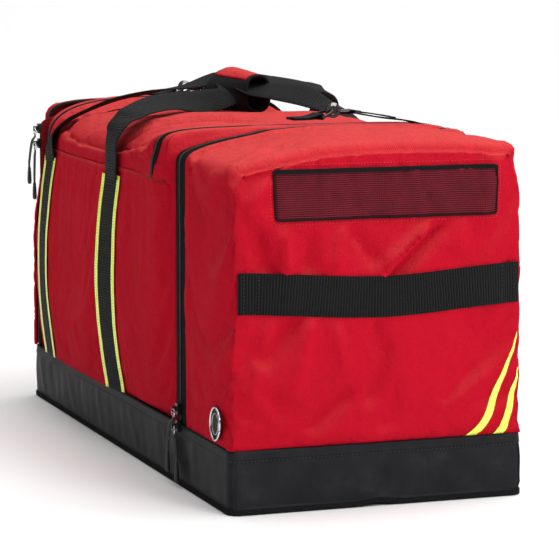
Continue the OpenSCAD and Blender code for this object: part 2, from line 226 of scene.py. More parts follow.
def webbing(name, colour, rib=1.8 * MM, herringbone=False):
    """Nylon webbing: u runs across the strap and v along it."""
    look = Surface(name, colour, 0.7, specular=0.15)
    look.set(Sheen_Weight=0.02, Sheen_Roughness=0.4)
    u, v, place = look.places()
    if herringbone:
        height = look.wave(look.plus(look.maths("PINGPONG", u, 5 * MM), v), rib * 0.6)
    else:
        height = look.times(look.wave(v, rib), look.plus(look.wave(u, rib * 0.6), 1.6))
    # Colour follows the rib height: painted highlight on the rib crests and painted shade in the grooves,
    # over random yarn variation.
    tone = look.plus(look.times(height, 0.28), look.times(look.noise(place, 500, 2.0, 0.7), 0.6))
    look.tones(tone, (0.3, 0.3), (0.6, 1), (0.85, 4.0))
    look.bump(height, 0.7, 0.45 * MM)
    return look.material


def reflective_tape(name, colour):
    """Retroreflective vinyl with its welded honeycomb of cells."""
    look = Surface(name, colour, 0.32, specular=0.6)
    # The emission is a painted glow: it stands in for the light that the retroreflective film sends back,
    # and the film is no lamp.
    look.set(Coat_Weight=0.5, Coat_Roughness=0.15, Emission_Color=(*colour, 1), Emission_Strength=0.12)
    _, _, place = look.places()
    cells = look.add("TexVoronoi", Vector=place, Scale=420, Randomness=0.35).outputs["Distance"]
    look.tones(cells, (0.15, 1.15), (0.5, 1), (0.75, 0.72))
    look.bump(cells, 0.3, 0.2 * MM)
    return look.material


def mesh_fabric(name, colour, hole_shade_colour):
    """Ventilation mesh: rows of small holes between knitted bars."""
    look = Surface(name, colour, 0.75, specular=0.1)
    u, v, place = look.places()
    pattern = look.plus(look.times(look.wave(v, 1.3 * MM), 0.75), look.times(look.wave(u, 1.1 * MM), 0.3))
    pattern = look.plus(pattern, look.times(look.noise(place, 60, 5.0, 0.7), 1.1))
    # The holes get painted shade: their dark colour stands in for the shaded inside seen through the mesh.
    look.set(Base_Color=look.ramp(pattern, [(0.1, hole_shade_colour), (0.5, scaled(colour, 0.55)), (1.0, colour)]))
    look.bump(pattern, 0.8, 0.5 * MM)
    return look.material


def moulded(name, colour, roughness, specular=0.5):
    """Rubber or plastic with a fine moulded grain."""
    look = Surface(name, colour, roughness, specular)
    _, _, place = look.places()
    look.tones(look.noise(place, 90, 4.0), (0.35, 0.8), (0.75, 1.5))
    look.bump(look.noise(place, 1400, 2.0), 0.25, 0.12 * MM)
    return look.material


def polished(name, colour, roughness):
    """Plated metal with hairline scratches."""
    look = Surface(name, colour, roughness, metallic=1.0)
    _, _, place = look.places()
    scratches = look.noise(place, 650, 5.0, 0.7)
    look.set(Roughness=look.plus(look.times(scratches, 0.22), roughness - 0.06))
    look.bump(scratches, 0.08, 0.1 * MM)
    return look.material


red_cloth = woven_fabric("red_cloth", (0.48, 0.005, 0.019), contrast=0.45, painted_top_colour=(0.56, 0.050, 0.050))
lining_cloth = woven_fabric("lining_cloth", (0.22, 0.012, 0.014), pitch=0.9 * MM, contrast=0.15)
base_cloth = tarpaulin("base_cloth", (0.016, 0.0165, 0.019))
black_webbing = webbing("black_webbing", (0.0065, 0.0065, 0.007))
herringbone_webbing = webbing("herringbone_webbing", (0.016, 0.016, 0.018), rib=2.6 * MM, herringbone=True)
zip_cloth = woven_fabric("zip_cloth", (0.010, 0.010, 0.010), pitch=0.8 * MM, contrast=0.3, sheen=0.1)
binding_cloth = woven_fabric("binding_cloth", (0.011, 0.011, 0.012), pitch=1.0 * MM, contrast=0.3, sheen=0.1)
zip_nylon = moulded("zip_nylon", (0.06, 0.06, 0.06), 0.35)
lime_tape = reflective_tape("lime_tape", (0.80, 0.98, 0.10))
window_mesh = mesh_fabric("window_mesh", (0.19, 0.012, 0.022), (0.030, 0.004, 0.008))
red_thread = moulded("red_thread", (0.62, 0.03, 0.04), 0.6)
black_thread = moulded("black_thread", (0.03, 0.03, 0.032), 0.55)
rubber = moulded("rubber", (0.012, 0.012, 0.012), 0.4)
black_metal = polished("black_metal", (0.05, 0.05, 0.055), 0.3)
bright_metal = polished("bright_metal", (0.72, 0.72, 0.74), 0.16)
badge_black = moulded("badge_black", (0.010, 0.010, 0.011), 0.55, specular=0.1)
board_plastic = moulded("board_plastic", (0.03, 0.03, 0.03), 0.6)


# ---- Mesh tools ----

def new_piece(name, points, faces, uvs, material, body, *nodes, slot=None):
    """A smooth mesh that rides on body and replaces nodes; uvs are those of each face corner, in metres."""
    mesh = bpy.data.meshes.new(name)
    mesh.from_pydata([tuple(p) for p in points], [], [tuple(f) for f in faces])
    mesh.polygons.foreach_set("use_smooth", [True] * len(mesh.polygons))
    if uvs is not None:
        layer = mesh.uv_layers.new(name="UVMap")
        layer.data.foreach_set("uv", np.asarray(uvs, np.float32).ravel())
    mesh.materials.append(material)
    mesh.update()
    piece = bpy.data.objects.new(name, mesh)
    bpy.context.scene.collection.objects.link(piece)
    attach(piece, body)
    if nodes:
        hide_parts(*nodes)
    return piece


def grid_faces(rows, columns, start=0):
    return [(start + i * columns + k, start + (i + 1) * columns + k,
             start + (i + 1) * columns + k + 1, start + i * columns + k + 1)
            for i in range(rows - 1) for k in range(columns - 1)]


def grid_uvs(points):
    """Lengths along both directions of a grid of points, in metres."""
    uv = np.zeros((*points.shape[:2], 2))
    for axis in (0, 1):
        steps = np.linalg.norm(np.diff(points, axis=axis), axis=2)
        lengths = np.cumsum(steps, axis=axis).mean(axis=1 - axis, keepdims=True)
        if axis == 0:
            uv[1:, :, 0] = lengths
        else:
            uv[:, 1:, 1] = lengths
    return uv


def corner_uvs(faces, uv_points):
    flat = np.asarray(uv_points).reshape(-1, 2)
    return [flat[i] for face in faces for i in face]


def outward(points, faces, centre):
    """The faces, turned so that they look away from centre."""
    flat = np.asarray(points).reshape(-1, 3)
    face = faces[len(faces) // 2]
    normal = np.cross(flat[face[1]] - flat[face[0]], flat[face[2]] - flat[face[0]])
    if normal @ (flat[face[0]] - np.asarray(centre)) < 0:
        return [tuple(reversed(f)) for f in faces]
    return faces


BAG_CENTRE = (0.0, 0.0, 0.2)


def sheet(name, points, material, body, *nodes, thickness=2 * MM, centre=BAG_CENTRE):
    """A panel of cloth from a grid of points of its outer face, thickened inwards."""
    faces = outward(points, grid_faces(*points.shape[:2]), centre)
    uvs = corner_uvs(faces, grid_uvs(points))
    return thicken(new_piece(name, points.reshape(-1, 3), faces, uvs, material, body, *nodes), thickness)


def thicken(piece, thickness):
    solid = piece.modifiers.new("thickness", "SOLIDIFY")
    solid.thickness = thickness
    solid.offset = -1
    return piece


def unit(v):
    v = np.asarray(v, float)
    return v / np.maximum(np.linalg.norm(v, axis=-1, keepdims=True), 1e-12)


def join(*parts):
    """Columns side by side; a plain number fills its column."""
    count = max(len(part) for part in parts if np.ndim(part))
    return np.column_stack([part if np.ndim(part) else np.full(count, float(part)) for part in parts])


def smoothed(values, count):
    """A running mean over count neighbours."""
    return np.convolve(np.pad(values, count // 2, mode="edge"), np.ones(count) / count, "valid")


def smooth_path(points, count):
    """A Catmull-Rom curve through points, resampled to count points of even spacing."""
    p = np.asarray(points, float)
    p = np.vstack([2 * p[0] - p[1], p, 2 * p[-1] - p[-2]])
    fine = []
    for i in range(1, len(p) - 2):
        for t in np.linspace(0, 1, 12, endpoint=False):
            a, b, c, d = p[i - 1:i + 3]
            fine.append(0.5 * (2 * b + (c - a) * t + (2 * a - 5 * b + 4 * c - d) * t ** 2
                               + (3 * b - a - 3 * c + d) * t ** 3))
    return resample(np.array(fine + [p[-2]]), count)


def resample(points, count):
    points = np.asarray(points, float)
    length = np.concatenate([[0], np.cumsum(np.linalg.norm(np.diff(points[:, :3], axis=0), axis=1))])
    at = np.linspace(0, length[-1], count)
    return np.stack([np.interp(at, length, points[:, k]) for k in range(points.shape[1])], axis=1)


# Cross-section of webbing: places across the strap with the share of its thickness that is left there
WEB_ACROSS = ((-1, 0.35), (-0.965, 0.9), (-0.6, 1), (0, 1), (0.6, 1), (0.965, 0.9), (1, 0.35))


def ribbon(name, path, normals, width, thickness, material, body, *nodes):
    """A strap swept along path. Normals point out of its face."""
    path = np.asarray(path, float)
    tangent = unit(np.gradient(path, axis=0))
    side = unit(np.cross(tangent, np.asarray(normals, float)))
    up = unit(np.cross(side, tangent))
    half = np.broadcast_to(np.asarray(width, float) / 2, (len(path),))[:, None]
    rings, us = [], []
    for face, places in ((thickness / 2, WEB_ACROSS), (-thickness / 2, WEB_ACROSS[::-1])):
        for across, full in places:
            rings.append(path + side * half * across + up * face * full)
            us.append(half[:, 0] * across)
    return swept(name, np.stack(rings, axis=1), np.stack(us, axis=1), material, body, *nodes)


def swept(name, rings, us, material, body, *nodes, cap=True, slot=None):
    """A closed tube from rings of points, shape (length, round, 3), with end caps."""
    n, m = rings.shape[:2]
    along = np.concatenate([[0], np.cumsum(np.linalg.norm(np.diff(rings.mean(axis=1), axis=0), axis=1))])
    faces, uvs = [], []
    for i in range(n - 1):
        for k in range(m):
            j = (k + 1) % m
            faces.append((i * m + k, (i + 1) * m + k, (i + 1) * m + j, i * m + j))
            uvs += [(us[i, k], along[i]), (us[i + 1, k], along[i + 1]),
                    (us[i + 1, j], along[i + 1]), (us[i, j], along[i])]
    if cap:
        for first, ring in ((0, range(m)), ((n - 1) * m, range(m - 1, -1, -1))):
            faces.append(tuple(first + k for k in ring))
            uvs += [(0, 0)] * m
    return new_piece(name, rings.reshape(-1, 3), faces, uvs, material, body, *nodes, slot=slot)


def tube_rings(path, radius, sides):
    """Rings round a path for a tube; radius may be one number or one for each point."""
    path = np.asarray(path, float)
    tangent = unit(np.gradient(path, axis=0))
    radius = np.broadcast_to(np.asarray(radius, float), (len(path),))
    side = np.zeros_like(path)
    side[0] = unit(np.cross(tangent[0], (0.31, 0.17, 0.93)))
    for i in range(1, len(path)):
        side[i] = unit(side[i - 1] - tangent[i] * (side[i - 1] @ tangent[i]))
    other = np.cross(tangent, side)
    angles = np.arange(sides) * 2 * math.pi / sides
    rings = [path + radius[:, None] * (side * math.cos(a) + other * math.sin(a)) for a in angles]
    return np.stack(rings, axis=1), np.outer(radius, angles)


def tube(name, path, radius, material, body, *nodes, sides=8, closed=False, slot=None):
    path = np.asarray(path, float)
    if closed:
        path = np.vstack([path, path[:1]])
    rings, us = tube_rings(path, radius, sides)
    if closed:
        rings[0] = rings[-1] = (rings[0] + rings[-1]) / 2
    return swept(name, rings, us, material, body, *nodes, slot=slot)


def beads(name, centres, along, across, up, sizes, material, body, slot=None):
    """Many small lozenges in one mesh, such as stitches or zip teeth. sizes are half lengths."""
    a, b, c = (unit(x) * s for x, s in zip((along, across, up), sizes))
    centres = np.asarray(centres, float)
    shell = np.stack([centres - a, centres + a, centres - b, centres + b, centres - c, centres + c], axis=1)
    pattern = [(0, 2, 4), (2, 1, 4), (1, 3, 4), (3, 0, 4), (2, 0, 5), (1, 2, 5), (3, 1, 5), (0, 3, 5)]
    faces = [tuple(6 * i + k for k in f) for i in range(len(centres)) for f in pattern]
    return new_piece(name, shell.reshape(-1, 3), faces, None, material, body, slot=slot)


def stitches(name, path, normals, material, body, pitch=4.2 * MM, length=3.0 * MM, width=0.5 * MM,
             lift=0.2 * MM, slot=None):
    """A row of thread stitches along path."""
    path, normals = np.asarray(path, float), unit(normals)
    total = np.linalg.norm(np.diff(path, axis=0), axis=1).sum()
    both = resample(np.hstack([path, np.broadcast_to(normals, path.shape)]), max(3, int(total / pitch)))
    at, up = both[:, :3], unit(both[:, 3:])
    along = unit(np.gradient(at, axis=0))
    sizes = (length / 2, width, width)
    return beads(name, at + up * lift, along, np.cross(along, up), up, sizes, material, body, slot)


class Skin:
    """The finished outer face of a cloth piece, for laying other pieces on it."""

    def __init__(self, piece):
        corners = [v.co for v in piece.data.vertices]
        self.tree = BVHTree.FromPolygons(corners, [tuple(p.vertices) for p in piece.data.polygons])

    def lay(self, points, out, lift=0.0):
        """Moves points along out until they lie on the skin, lifted by lift."""
        out = Vector(out).normalized()
        laid = np.array(points, float)
        for i, p in enumerate(laid):
            hit = self.tree.ray_cast(Vector(p) + out * 0.12, -out, 0.3)[0]
            if hit is not None:
                laid[i] = hit + out * lift
        return laid


def rumple(x, y, z, scale, depth, seed):
    """Smooth noise at x, y and z, from -depth to depth, the same in every run."""
    points = np.stack(np.broadcast_arrays(x, y, z), -1).astype(float)
    values = [noise.fractal(Vector(p) * scale + Vector((seed * 7.3, seed * 3.1, seed)), 1.0, 2.0, 3)
              for p in points.reshape(-1, 3)]
    return (np.clip(values, -1.5, 1.5) * depth).reshape(points.shape[:-1])


def creases(a, b, folds, factor=1.0):
    """Height over coordinates a and b of straight folds, which fade at their ends.

    A fold is its start and end (a, b, a, b), its width and its height, all in mm.
    """
    total = 0.0
    for a0, b0, a1, b1, width, height in folds:
        start, d = np.array((a0, b0)) * MM, np.array((a1 - a0, b1 - b0)) * MM
        length = np.linalg.norm(d)
        t = ((a - start[0]) * d[0] + (b - start[1]) * d[1]) / length ** 2
        off = ((a - start[0]) * -d[1] + (b - start[1]) * d[0]) / length
        fade = smoothstep(np.minimum(t, 1 - t) * 4 + 0.25, 0, 1)
        w = width * MM * (0.6 + 0.6 * np.clip(t, 0, 1))
        total = total + factor * height * MM * fade * np.exp(-(off / w) ** 2)
    return total


def drape(piece, pinned, growth, frames, pressure, gravity, cap):
    """Lets cloth cut a little too large settle; pinned holds points by weight, cap limits the move."""
    start = np.array([v.co for v in piece.data.vertices], float)
    group = piece.vertex_groups.new(name="pinned")
    for weight, members in pinned.items():
        group.add([int(i) for i in members], weight, "REPLACE")
    for other in piece.modifiers:
        other.show_viewport = False
    cloth = piece.modifiers.new("cloth", "CLOTH")
    settings = cloth.settings
    settings.quality = 5
    settings.mass = 0.2
    settings.tension_stiffness = 25
    settings.compression_stiffness = 25
    settings.shear_stiffness = 12
    settings.bending_stiffness = 0.4
    settings.air_damping = 2
    settings.shrink_min = -growth
    settings.vertex_group_mass = "pinned"
    settings.effector_weights.gravity = gravity
    settings.use_pressure = True
    settings.uniform_pressure_force = pressure
    cloth.collision_settings.use_collision = False
    cloth.point_cache.frame_end = frames
    scene = bpy.context.scene
    for number in range(1, frames + 1):
        scene.frame_set(number)
    settled = piece.evaluated_get(bpy.context.evaluated_depsgraph_get())
    end = np.array([v.co for v in settled.data.vertices], float)
    piece.modifiers.remove(cloth)
    for other in piece.modifiers:
        other.show_viewport = True
    piece.vertex_groups.remove(group)
    scene.frame_set(1)
    move = end - start
    size = np.linalg.norm(move, axis=1, keepdims=True)
    move *= np.minimum(1, cap / np.maximum(size, 1e-9))
    piece.data.vertices.foreach_set("co", (start + move).astype(np.float32).ravel())
    piece.data.update()


# ---- Cloth shapes shared by the panels ----

def arch(half_w, foot, spring, crown, power, count):
    """Points (y, z) evenly spaced up the left side, over a rounded top and down the right side."""
    a = np.linspace(0, math.pi, 600)
    c, s = np.cos(a), np.abs(np.sin(a))
    y = -np.sign(c) * half_w * np.abs(c) ** (2 / power)
    z = spring + (crown - spring) * s ** (2 / power)
    line = join(np.r_[-half_w, y, half_w], np.r_[foot, z, foot])
    return resample(line, count)


def outwards_2d(line):
    """Unit normals of a (y, z) line that runs from the left foot over the top to the right foot."""
    t = np.gradient(line, axis=0)
    return unit(join(-t[:, 1], t[:, 0]))


def coons(bottom, top, left, right):
    """A grid of points, shape (len(left), len(bottom), 3), spanned between four edges."""
    v = np.linspace(0, 1, len(left))[:, None, None]
    u = np.linspace(0, 1, len(bottom))[None, :, None]
    sides = left[:, None] * (1 - u) + right[:, None] * u
    ends = bottom[None] * (1 - v) + top[None] * v
    corners = ((bottom[0] * (1 - u) + bottom[-1] * u) * (1 - v) + (top[0] * (1 - u) + top[-1] * u) * v)
    return sides + ends - corners


def smoothstep(x, lo, hi):
    t = np.clip((np.asarray(x, float) - lo) / (hi - lo), 0, 1)
    return t * t * (3 - 2 * t)


def bell(x, centre, width):
    return np.exp(-((np.asarray(x, float) - centre) / width) ** 2)


# ---- Near pocket shell: side-and-top gusset that curls over into the end panel ----

RING = 153
LEG = 50
FACE = RING - 1 - 2 * LEG


def pocket_line(count=RING):
    """The pocket's outline in (y, z): its left shoulder droops and its right one stands squarer."""
    line = arch(HALF_W, FOOT_Z, ARCH_Z, POCKET_CROWN, 6, count)
    y, z = line.T
    up = np.clip((z - 0.36) / (POCKET_CROWN - 0.36), 0, 1)
    sag = np.interp(y, [-0.19, -0.172, -0.143, -0.119, -0.096, -0.077, -0.03, 0.035, 0.12, 0.19],
                    [-0.014, -0.012, -0.0075, -0.0035, 0.0, 0.004, 0.007, 0.008, 0.006, 0.0])
    square = 0.008 * smoothstep(y, 0.15, 0.188) * smoothstep(z, 0.40, 0.42)
    return join(y, z + up * sag + square)


def pillow(y, z, depth):
    """How far an end face swells out between its edges."""
    up = np.clip(np.sin((z - FOOT_Z) / (0.43 - FOOT_Z) * math.pi), 0, 1)
    return depth * np.cos(y / HALF_W * 1.45) * up ** 0.7


# Folds of the near pocket's end face over (y, z), below the window and round the handle
END_FOLDS = ((-155, 345, -150, 290, 10, -1.8), (-128, 350, -120, 286, 8, 1.8),
             (-90, 345, -95, 290, 9, -1.6), (-50, 350, -64, 292, 8, 1.3), (62, 350, -10, 285, 10, 3),
             (82, 350, 6, 280, 10, -2.6), (-40, 348, 4, 288, 9, -1.6), (105, 352, 98, 306, 9, 1),
             (-176, 360, -125, 430, 12, 1.6), (150, 425, 125, 350, 14, 1.6),
             (-110, 240, -155, 180, 12, -2), (-92, 242, -120, 130, 12, 2),
             (-140, 240, -172, 120, 12, 1.6), (-35, 150, -100, 95, 12, -2), (-10, 235, 0, 190, 8, -1.5),
             (10, 205, -18, 125, 9, -1.7), (24, 160, 4, 90, 10, -1.3), (-65, 235, -50, 165, 10, 1.4),
             (110, 245, 120, 150, 20, -1.2))


def end_face_folds(y, z):
    """How far the end face stands out: its pillow, the folds below the window and round the handle."""
    folds = rumple(0.5, y, z * 0.6, 9, 2.4 * MM, 3)
    folds += rumple(0.5, y, z, 26, 1.2 * MM, 4)
    folds = folds + creases(y, z, END_FOLDS, 5.2)
    edge = smoothstep(HALF_W - np.abs(y), 0.004, 0.035) * smoothstep(z, FOOT_Z, FOOT_Z + 0.03) \
        * smoothstep(0.420 - z, 0, 0.03)
    return pillow(y, z, 7.0 * MM) + folds * edge


# Folds of the near pocket over (x, z) on its left side and (x, y) on its top
SIDE_FOLDS = ((437, 425, 452, 330, 10, -2.5), (395, 420, 378, 300, 16, 1.2),
              (330, 400, 340, 240, 16, -1.2), (430, 205, 456, 232, 6, -2.2), (405, 185, 452, 222, 6, 1.8),
              (360, 220, 350, 110, 18, 1.2), (440, 170, 420, 100, 12, -1.2))
TOP_FOLDS = ((440, -176, 395, -60, 7, -1.6), (420, -165, 400, -120, 8, 1.8),
             (425, -130, 385, -105, 6, -1.4), (300, -150, 335, -60, 14, 1.4), (320, 20, 380, 120, 16, -1))


def far_line(count=RING):
    """The far pocket's outline in (y, z): it stands up at its shoulders and leans in towards the top."""
    line = arch(HALF_W, FOOT_Z, ARCH_Z, POCKET_CROWN + 4 * MM, 5, count)
    y, z = line.T
    return join(y * (1 - 0.09 * smoothstep(z, 0.24, 0.40)), z + 3 * MM * smoothstep(z, 0.42, 0.44))


def end_shell_points(x0, x1, count, dome, face_out, seed):
    """Grids of an end pocket's gusset, with its curled edge, and of its face, from its zip edge x0 to x1."""
    line = pocket_line() if x1 > x0 else far_line()
    normal = outwards_2d(line)
    y, z = line.T
    way = math.copysign(1, x1 - x0)
    top = smoothstep(z, 0.385, 0.425)
    radius = np.minimum((5.0 + 15.0 * top) * MM, abs(x1 - x0) * 0.7)
    columns = []
    for t in np.linspace(0, 1, count):
        x = x0 + (x1 - way * radius - x0) * t
        swell = math.sin(math.pi * t) ** 0.8
        out = top * swell * dome * np.cos(y / HALF_W * 1.5) * (0.25 + 0.75 * smoothstep(y, -0.13, -0.01))
        out += (1 - top) * swell * dome * 0.13 * np.sin(np.clip((z - FOOT_Z) / 0.33, 0, 1) * math.pi)
        out += rumple(x, y, z * 0.6, 10, dome * 0.1, seed) * math.sin(math.pi * t) ** 0.5
        out += (1 - top) * bell(x, x1 - way * 0.009, 0.005) * 2.4 * MM
        out += top * bell(x, x1 - way * 0.027, 0.004) * 1.6 * MM
        out += 1.7 * ((y < 0) * (1 - top) * creases(x, z, SIDE_FOLDS) + top * creases(x, y, TOP_FOLDS))
        out -= 2.0 * MM * (1 - smoothstep(abs(x - x0), 0, 0.003))
        columns.append(join(x, line + normal * out[:, None]))
    proud = join(columns[-1][:, 1] - y, columns[-1][:, 2] - z)
    for a in np.linspace(0, math.pi / 2, 7)[1:]:
        inset = (radius * (1 - math.cos(a)))[:, None]
        yz = line + proud * math.cos(a) - normal * inset
        columns.append(join(x1 - way * radius * (1 - math.sin(a)), yz))
    rim = columns[-1]
    foot = join(x1, np.linspace(rim[0, 1], rim[-1, 1], FACE + 1), FOOT_Z)
    face = coons(foot, rim[LEG:LEG + FACE + 1], rim[:LEG + 1], rim[:LEG + FACE - 1:-1])
    fy, fz = face[..., 1], face[..., 2]
    from_side = np.minimum(fy - rim[:, 1].min(), rim[:, 1].max() - fy)
    face[..., 0] += way * face_out(fy, fz)
    face[..., 0] -= way * (1 - smoothstep(from_side, 0.0, 0.007)) * 1.5 * MM * (fz < 0.40)
    columns = np.stack(columns, axis=1)
    columns[:LEG, -1] = face[:LEG, 0]
    columns[LEG:LEG + FACE + 1, -1] = face[-1]
    columns[:LEG + FACE:-1, -1] = face[:LEG, -1]
    return columns, face


def build_end_shell(name, body, nodes, columns, face, growth):
    """One piece of cloth from the gusset and face grids, settled by the cloth simulation."""
    n, m = columns.shape[:2]
    rows, across = face.shape[:2]
    edge = np.arange(n) * m + m - 1
    index = np.zeros((rows, across), int)
    index[:-1, 0], index[:-1, -1] = edge[:rows - 1], edge[:n - rows:-1]
    index[-1] = edge[LEG:LEG + across]
    index[:-1, 1:-1] = n * m + np.arange((rows - 1) * (across - 2)).reshape(rows - 1, -1)
    points = np.vstack([columns.reshape(-1, 3), face[:-1, 1:-1].reshape(-1, 3)])
    faces = outward(points, grid_faces(n, m), BAG_CENTRE)
    corners = corner_uvs(faces, grid_uvs(columns))
    end_faces = [(index[i, k], index[i, k + 1], index[i + 1, k + 1], index[i + 1, k])
                 for i in range(rows - 1) for k in range(across - 1)]
    end_faces = outward(points, end_faces, BAG_CENTRE)
    corners += [(points[i, 1], points[i, 2]) for f in end_faces for i in f]
    shell = new_piece(name, points, faces + end_faces, corners, red_cloth, body, *nodes)
    held = {*range(m), *range((n - 1) * m, n * m), *index[0], *range(0, n * m, m), *range(1, n * m, m)}
    drape(shell, {1.0: sorted(held), 0.6: sorted(set(edge) - held)}, growth, 16, 1.2, 0.4, 7 * MM)
    return thicken(shell, 2 * MM)


def far_face_folds(y, z):
    folds = rumple(-0.5, y, z * 0.5, 9, 2.0 * MM, 13)
    return pillow(y, z, 5.0 * MM) + folds * smoothstep(z, FOOT_Z, FOOT_Z + 0.03)


near_shell = build_end_shell("near_pocket_shell", "near_pocket", ("near_gusset", "near_end_panel"),
                             *end_shell_points(POCKET_X0, END_X, 34, 12 * MM, end_face_folds, 8), 0.016)
far_cloth = build_end_shell("far_pocket_shell", "far_pocket", ("far_shell",),
                            *end_shell_points(far_hi.x, far_lo.x, 5, 1 * MM, far_face_folds, 9), 0.012)
near_skin, far_skin = Skin(near_shell), Skin(far_cloth)


# ---- Main body: side panels, strips beside the lid, lid ----

LID_X1 = lid_hi.x
LID_X0 = lid_lo.x
VALLEY_X = MAIN_X1 - 0.0195


# Places along the bag, with how far its side stands out there in mm at the foot, the belly and the seam
BARREL = ((-0.462, 180, 184, 176), (-0.438, 183, 190, 176), (-0.376, 194, 205, 189),
          (-0.314, 196, 210, 190), (-0.250, 199, 214, 195), (-0.060, 197, 214, 198), (0.016, 187, 202, 191),
          (0.120, 186, 194, 191), (0.190, 185, 191, 199), (0.226, 184, 189, 190), (0.300, 184, 188, 186))


def seam_w(x):
    """Half the bag's width at the height of the lid's seam."""
    return np.interp(x, [row[0] for row in BARREL], [row[3] * MM for row in BARREL])


def side_out(x, z):
    """Distance of the side panels from the bag's middle plane."""
    x, z = np.broadcast_arrays(np.asarray(x, float), np.asarray(z, float))
    v = np.clip((z - TUB_H) / (SEAM_Z - TUB_H), 0, 1)
    at, foot, belly, _ = np.array(BARREL).T
    foot, belly = np.interp(x, at, foot * MM), np.interp(x, at, belly * MM)
    line = foot + (seam_w(x) - foot) * v
    out = line + (belly - (foot + seam_w(x)) / 2) * np.sin(math.pi * v) ** 0.85
    return out - 9 * MM * smoothstep(x, VALLEY_X - 0.012, VALLEY_X) * smoothstep(v, 0, 0.1)


def border(n, m, side):
    """Points of an n by m grid on its border: one row at each end and side columns at each side."""
    return [i * m + k for i in range(n) for k in range(m) if i in (0, n - 1) or not side <= k < m - side]


def side_panel(name, side, top_z, node, seed, folds):
    xs = np.r_[np.linspace(MAIN_X0, VALLEY_X - 0.014, 92), np.linspace(VALLEY_X - 0.011, VALLEY_X, 5)]
    zs = np.linspace(TUB_H - 1 * MM, top_z, 46)
    x, z = np.meshgrid(xs, zs, indexing="ij")
    out = side_out(x, z)
    inner = smoothstep(z, TUB_H, TUB_H + 0.03) * smoothstep(top_z - z, 0, 0.02)
    inner *= smoothstep(VALLEY_X - x, 0, 0.02)
    wrinkles = rumple(x, 0, z * 0.35, 15, 1.7 * MM, seed) + rumple(x, 0, z * 0.8, 45, 0.4 * MM, seed + 1)
    wrinkles += creases(x, z, folds)
    for strap_x in STRAP_XS:
        wrinkles -= 1.6 * MM * bell(x, strap_x, 0.034)
    out = out + wrinkles * inner + 1.5 * MM * bell(z, top_z, 0.003)
    panel = sheet(name, np.stack([x, side * out, z], -1), red_cloth, "bag", node)
    n, m = x.shape
    edge = border(n, m, 1)
    straps = [i * m + k for i in range(1, n - 1) for k in range(1, m - 1)
              if min(abs(xs[i] - s) for s in STRAP_XS) < 0.032]
    drape(panel, {1.0: edge, 0.8: straps}, 0.012, 14, 1.0, 0.5, 6 * MM)
    return panel


straps_lo, straps_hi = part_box("side_straps_left")
WEB_W = 0.050
SIDE_WEB = 0.044
STRAP_XS = (straps_hi.x - SIDE_WEB / 2, straps_lo.x + SIDE_WEB / 2)

LEFT_FOLDS = ((-300, 360, -270, 200, 10, 1.8), (-260, 370, -235, 270, 8, -1.6),
              (-210, 370, -190, 240, 9, 1.6), (-100, 370, -130, 250, 9, 1.8),
              (-80, 370, -105, 270, 8, -1.6), (-290, 190, -230, 90, 10, 1.7),
              (-250, 200, -190, 100, 9, -1.6), (-170, 200, -130, 100, 10, 1.6),
              (-90, 180, -70, 100, 9, -1.2), (60, 370, 90, 240, 14, -1.2), (130, 360, 120, 200, 18, 1.2),
              (180, 300, 190, 120, 14, -1.4), (-410, 360, -400, 220, 9, 1.4), (70, 190, 100, 100, 16, 1))

left_panel = side_panel("left_side_panel", LEFT, SEAM_Z, "side_panel_left", 21, LEFT_FOLDS)
right_panel = side_panel("right_side_panel", RIGHT, SEAM_Z - 7 * MM, "side_panel_right", 31,
                         [(-90 - a, b, -90 - c, d, w, h) for a, b, c, d, w, h in LEFT_FOLDS])


def main_line(count):
    """The lid's outline (y, z), from the left seam over the crown to the right seam."""
    return arch(MAIN_HALF_W, SEAM_Z, SEAM_Z + 1 * MM, LID_CROWN, 3, count)


def shoulder_line(count):
    """The squarer outline (y, z) of the top beside the near zip, from seam to seam."""
    return arch(seam_w(VALLEY_X) + 3 * MM, SEAM_Z, SEAM_Z + 20 * MM, LID_CROWN - 8 * MM, 7, count)


def top_line(x, count):
    """The top's outline (y, z) at x, or at count places x: it gets squarer towards the near zip."""
    line = main_line(count)
    line[:, 0] *= seam_w(x) / MAIN_HALF_W
    squarer = shoulder_line(count)
    squarer[:, 0] *= seam_w(x) / seam_w(VALLEY_X)
    return line + (squarer - line) * (smoothstep(x, 0.04, VALLEY_X - 0.03) + np.zeros(count))[:, None]


def over_top(name, x_of, count, columns, out_of, body, *nodes):
    """A panel over the bag's top between the side seams. x_of(t, line) and out_of(x, y, z, t) shape it."""
    grid = []
    for t in np.linspace(0, 1, columns):
        x = x_of(t, main_line(count)) + np.zeros(count)
        line = top_line(x, count)
        out = out_of(x, line[:, 0], line[:, 1], t)
        grid.append(join(x, line + outwards_2d(line) * np.asarray(out)[:, None]))
    return sheet(name, np.stack(grid, axis=1), red_cloth, body, *nodes)


def zip_c_x(y, z):
    """Where the lid's near zip lies: it leans towards the pocket as it climbs the left shoulder."""
    climb = smoothstep(z, SEAM_Z, SEAM_Z + 0.055)
    return LID_X1 + 0.018 * climb * smoothstep(-y, 0.05, 0.17) + 0.004 * climb


LID_FOLDS = ((-30, -200, 85, -30, 12, -9), (-60, -170, 50, -20, 14, 5), (20, -190, 120, -60, 14, 4.5),
             (60, -195, 150, -100, 9, -3), (85, -190, 165, -125, 10, 2.5), (100, -20, 155, 60, 14, 2.5),
             (-330, -190, -220, -60, 14, -5), (-300, -190, -190, -80, 14, 4),
             (-270, 20, -160, 100, 16, 2.5), (-200, -190, -140, -90, 13, -3),
             (-130, -190, -90, -100, 12, 2.6), (30, 190, 60, 80, 14, -3), (-360, 180, -280, 60, 14, 3),
             (-380, -200, -300, -130, 30, -9))


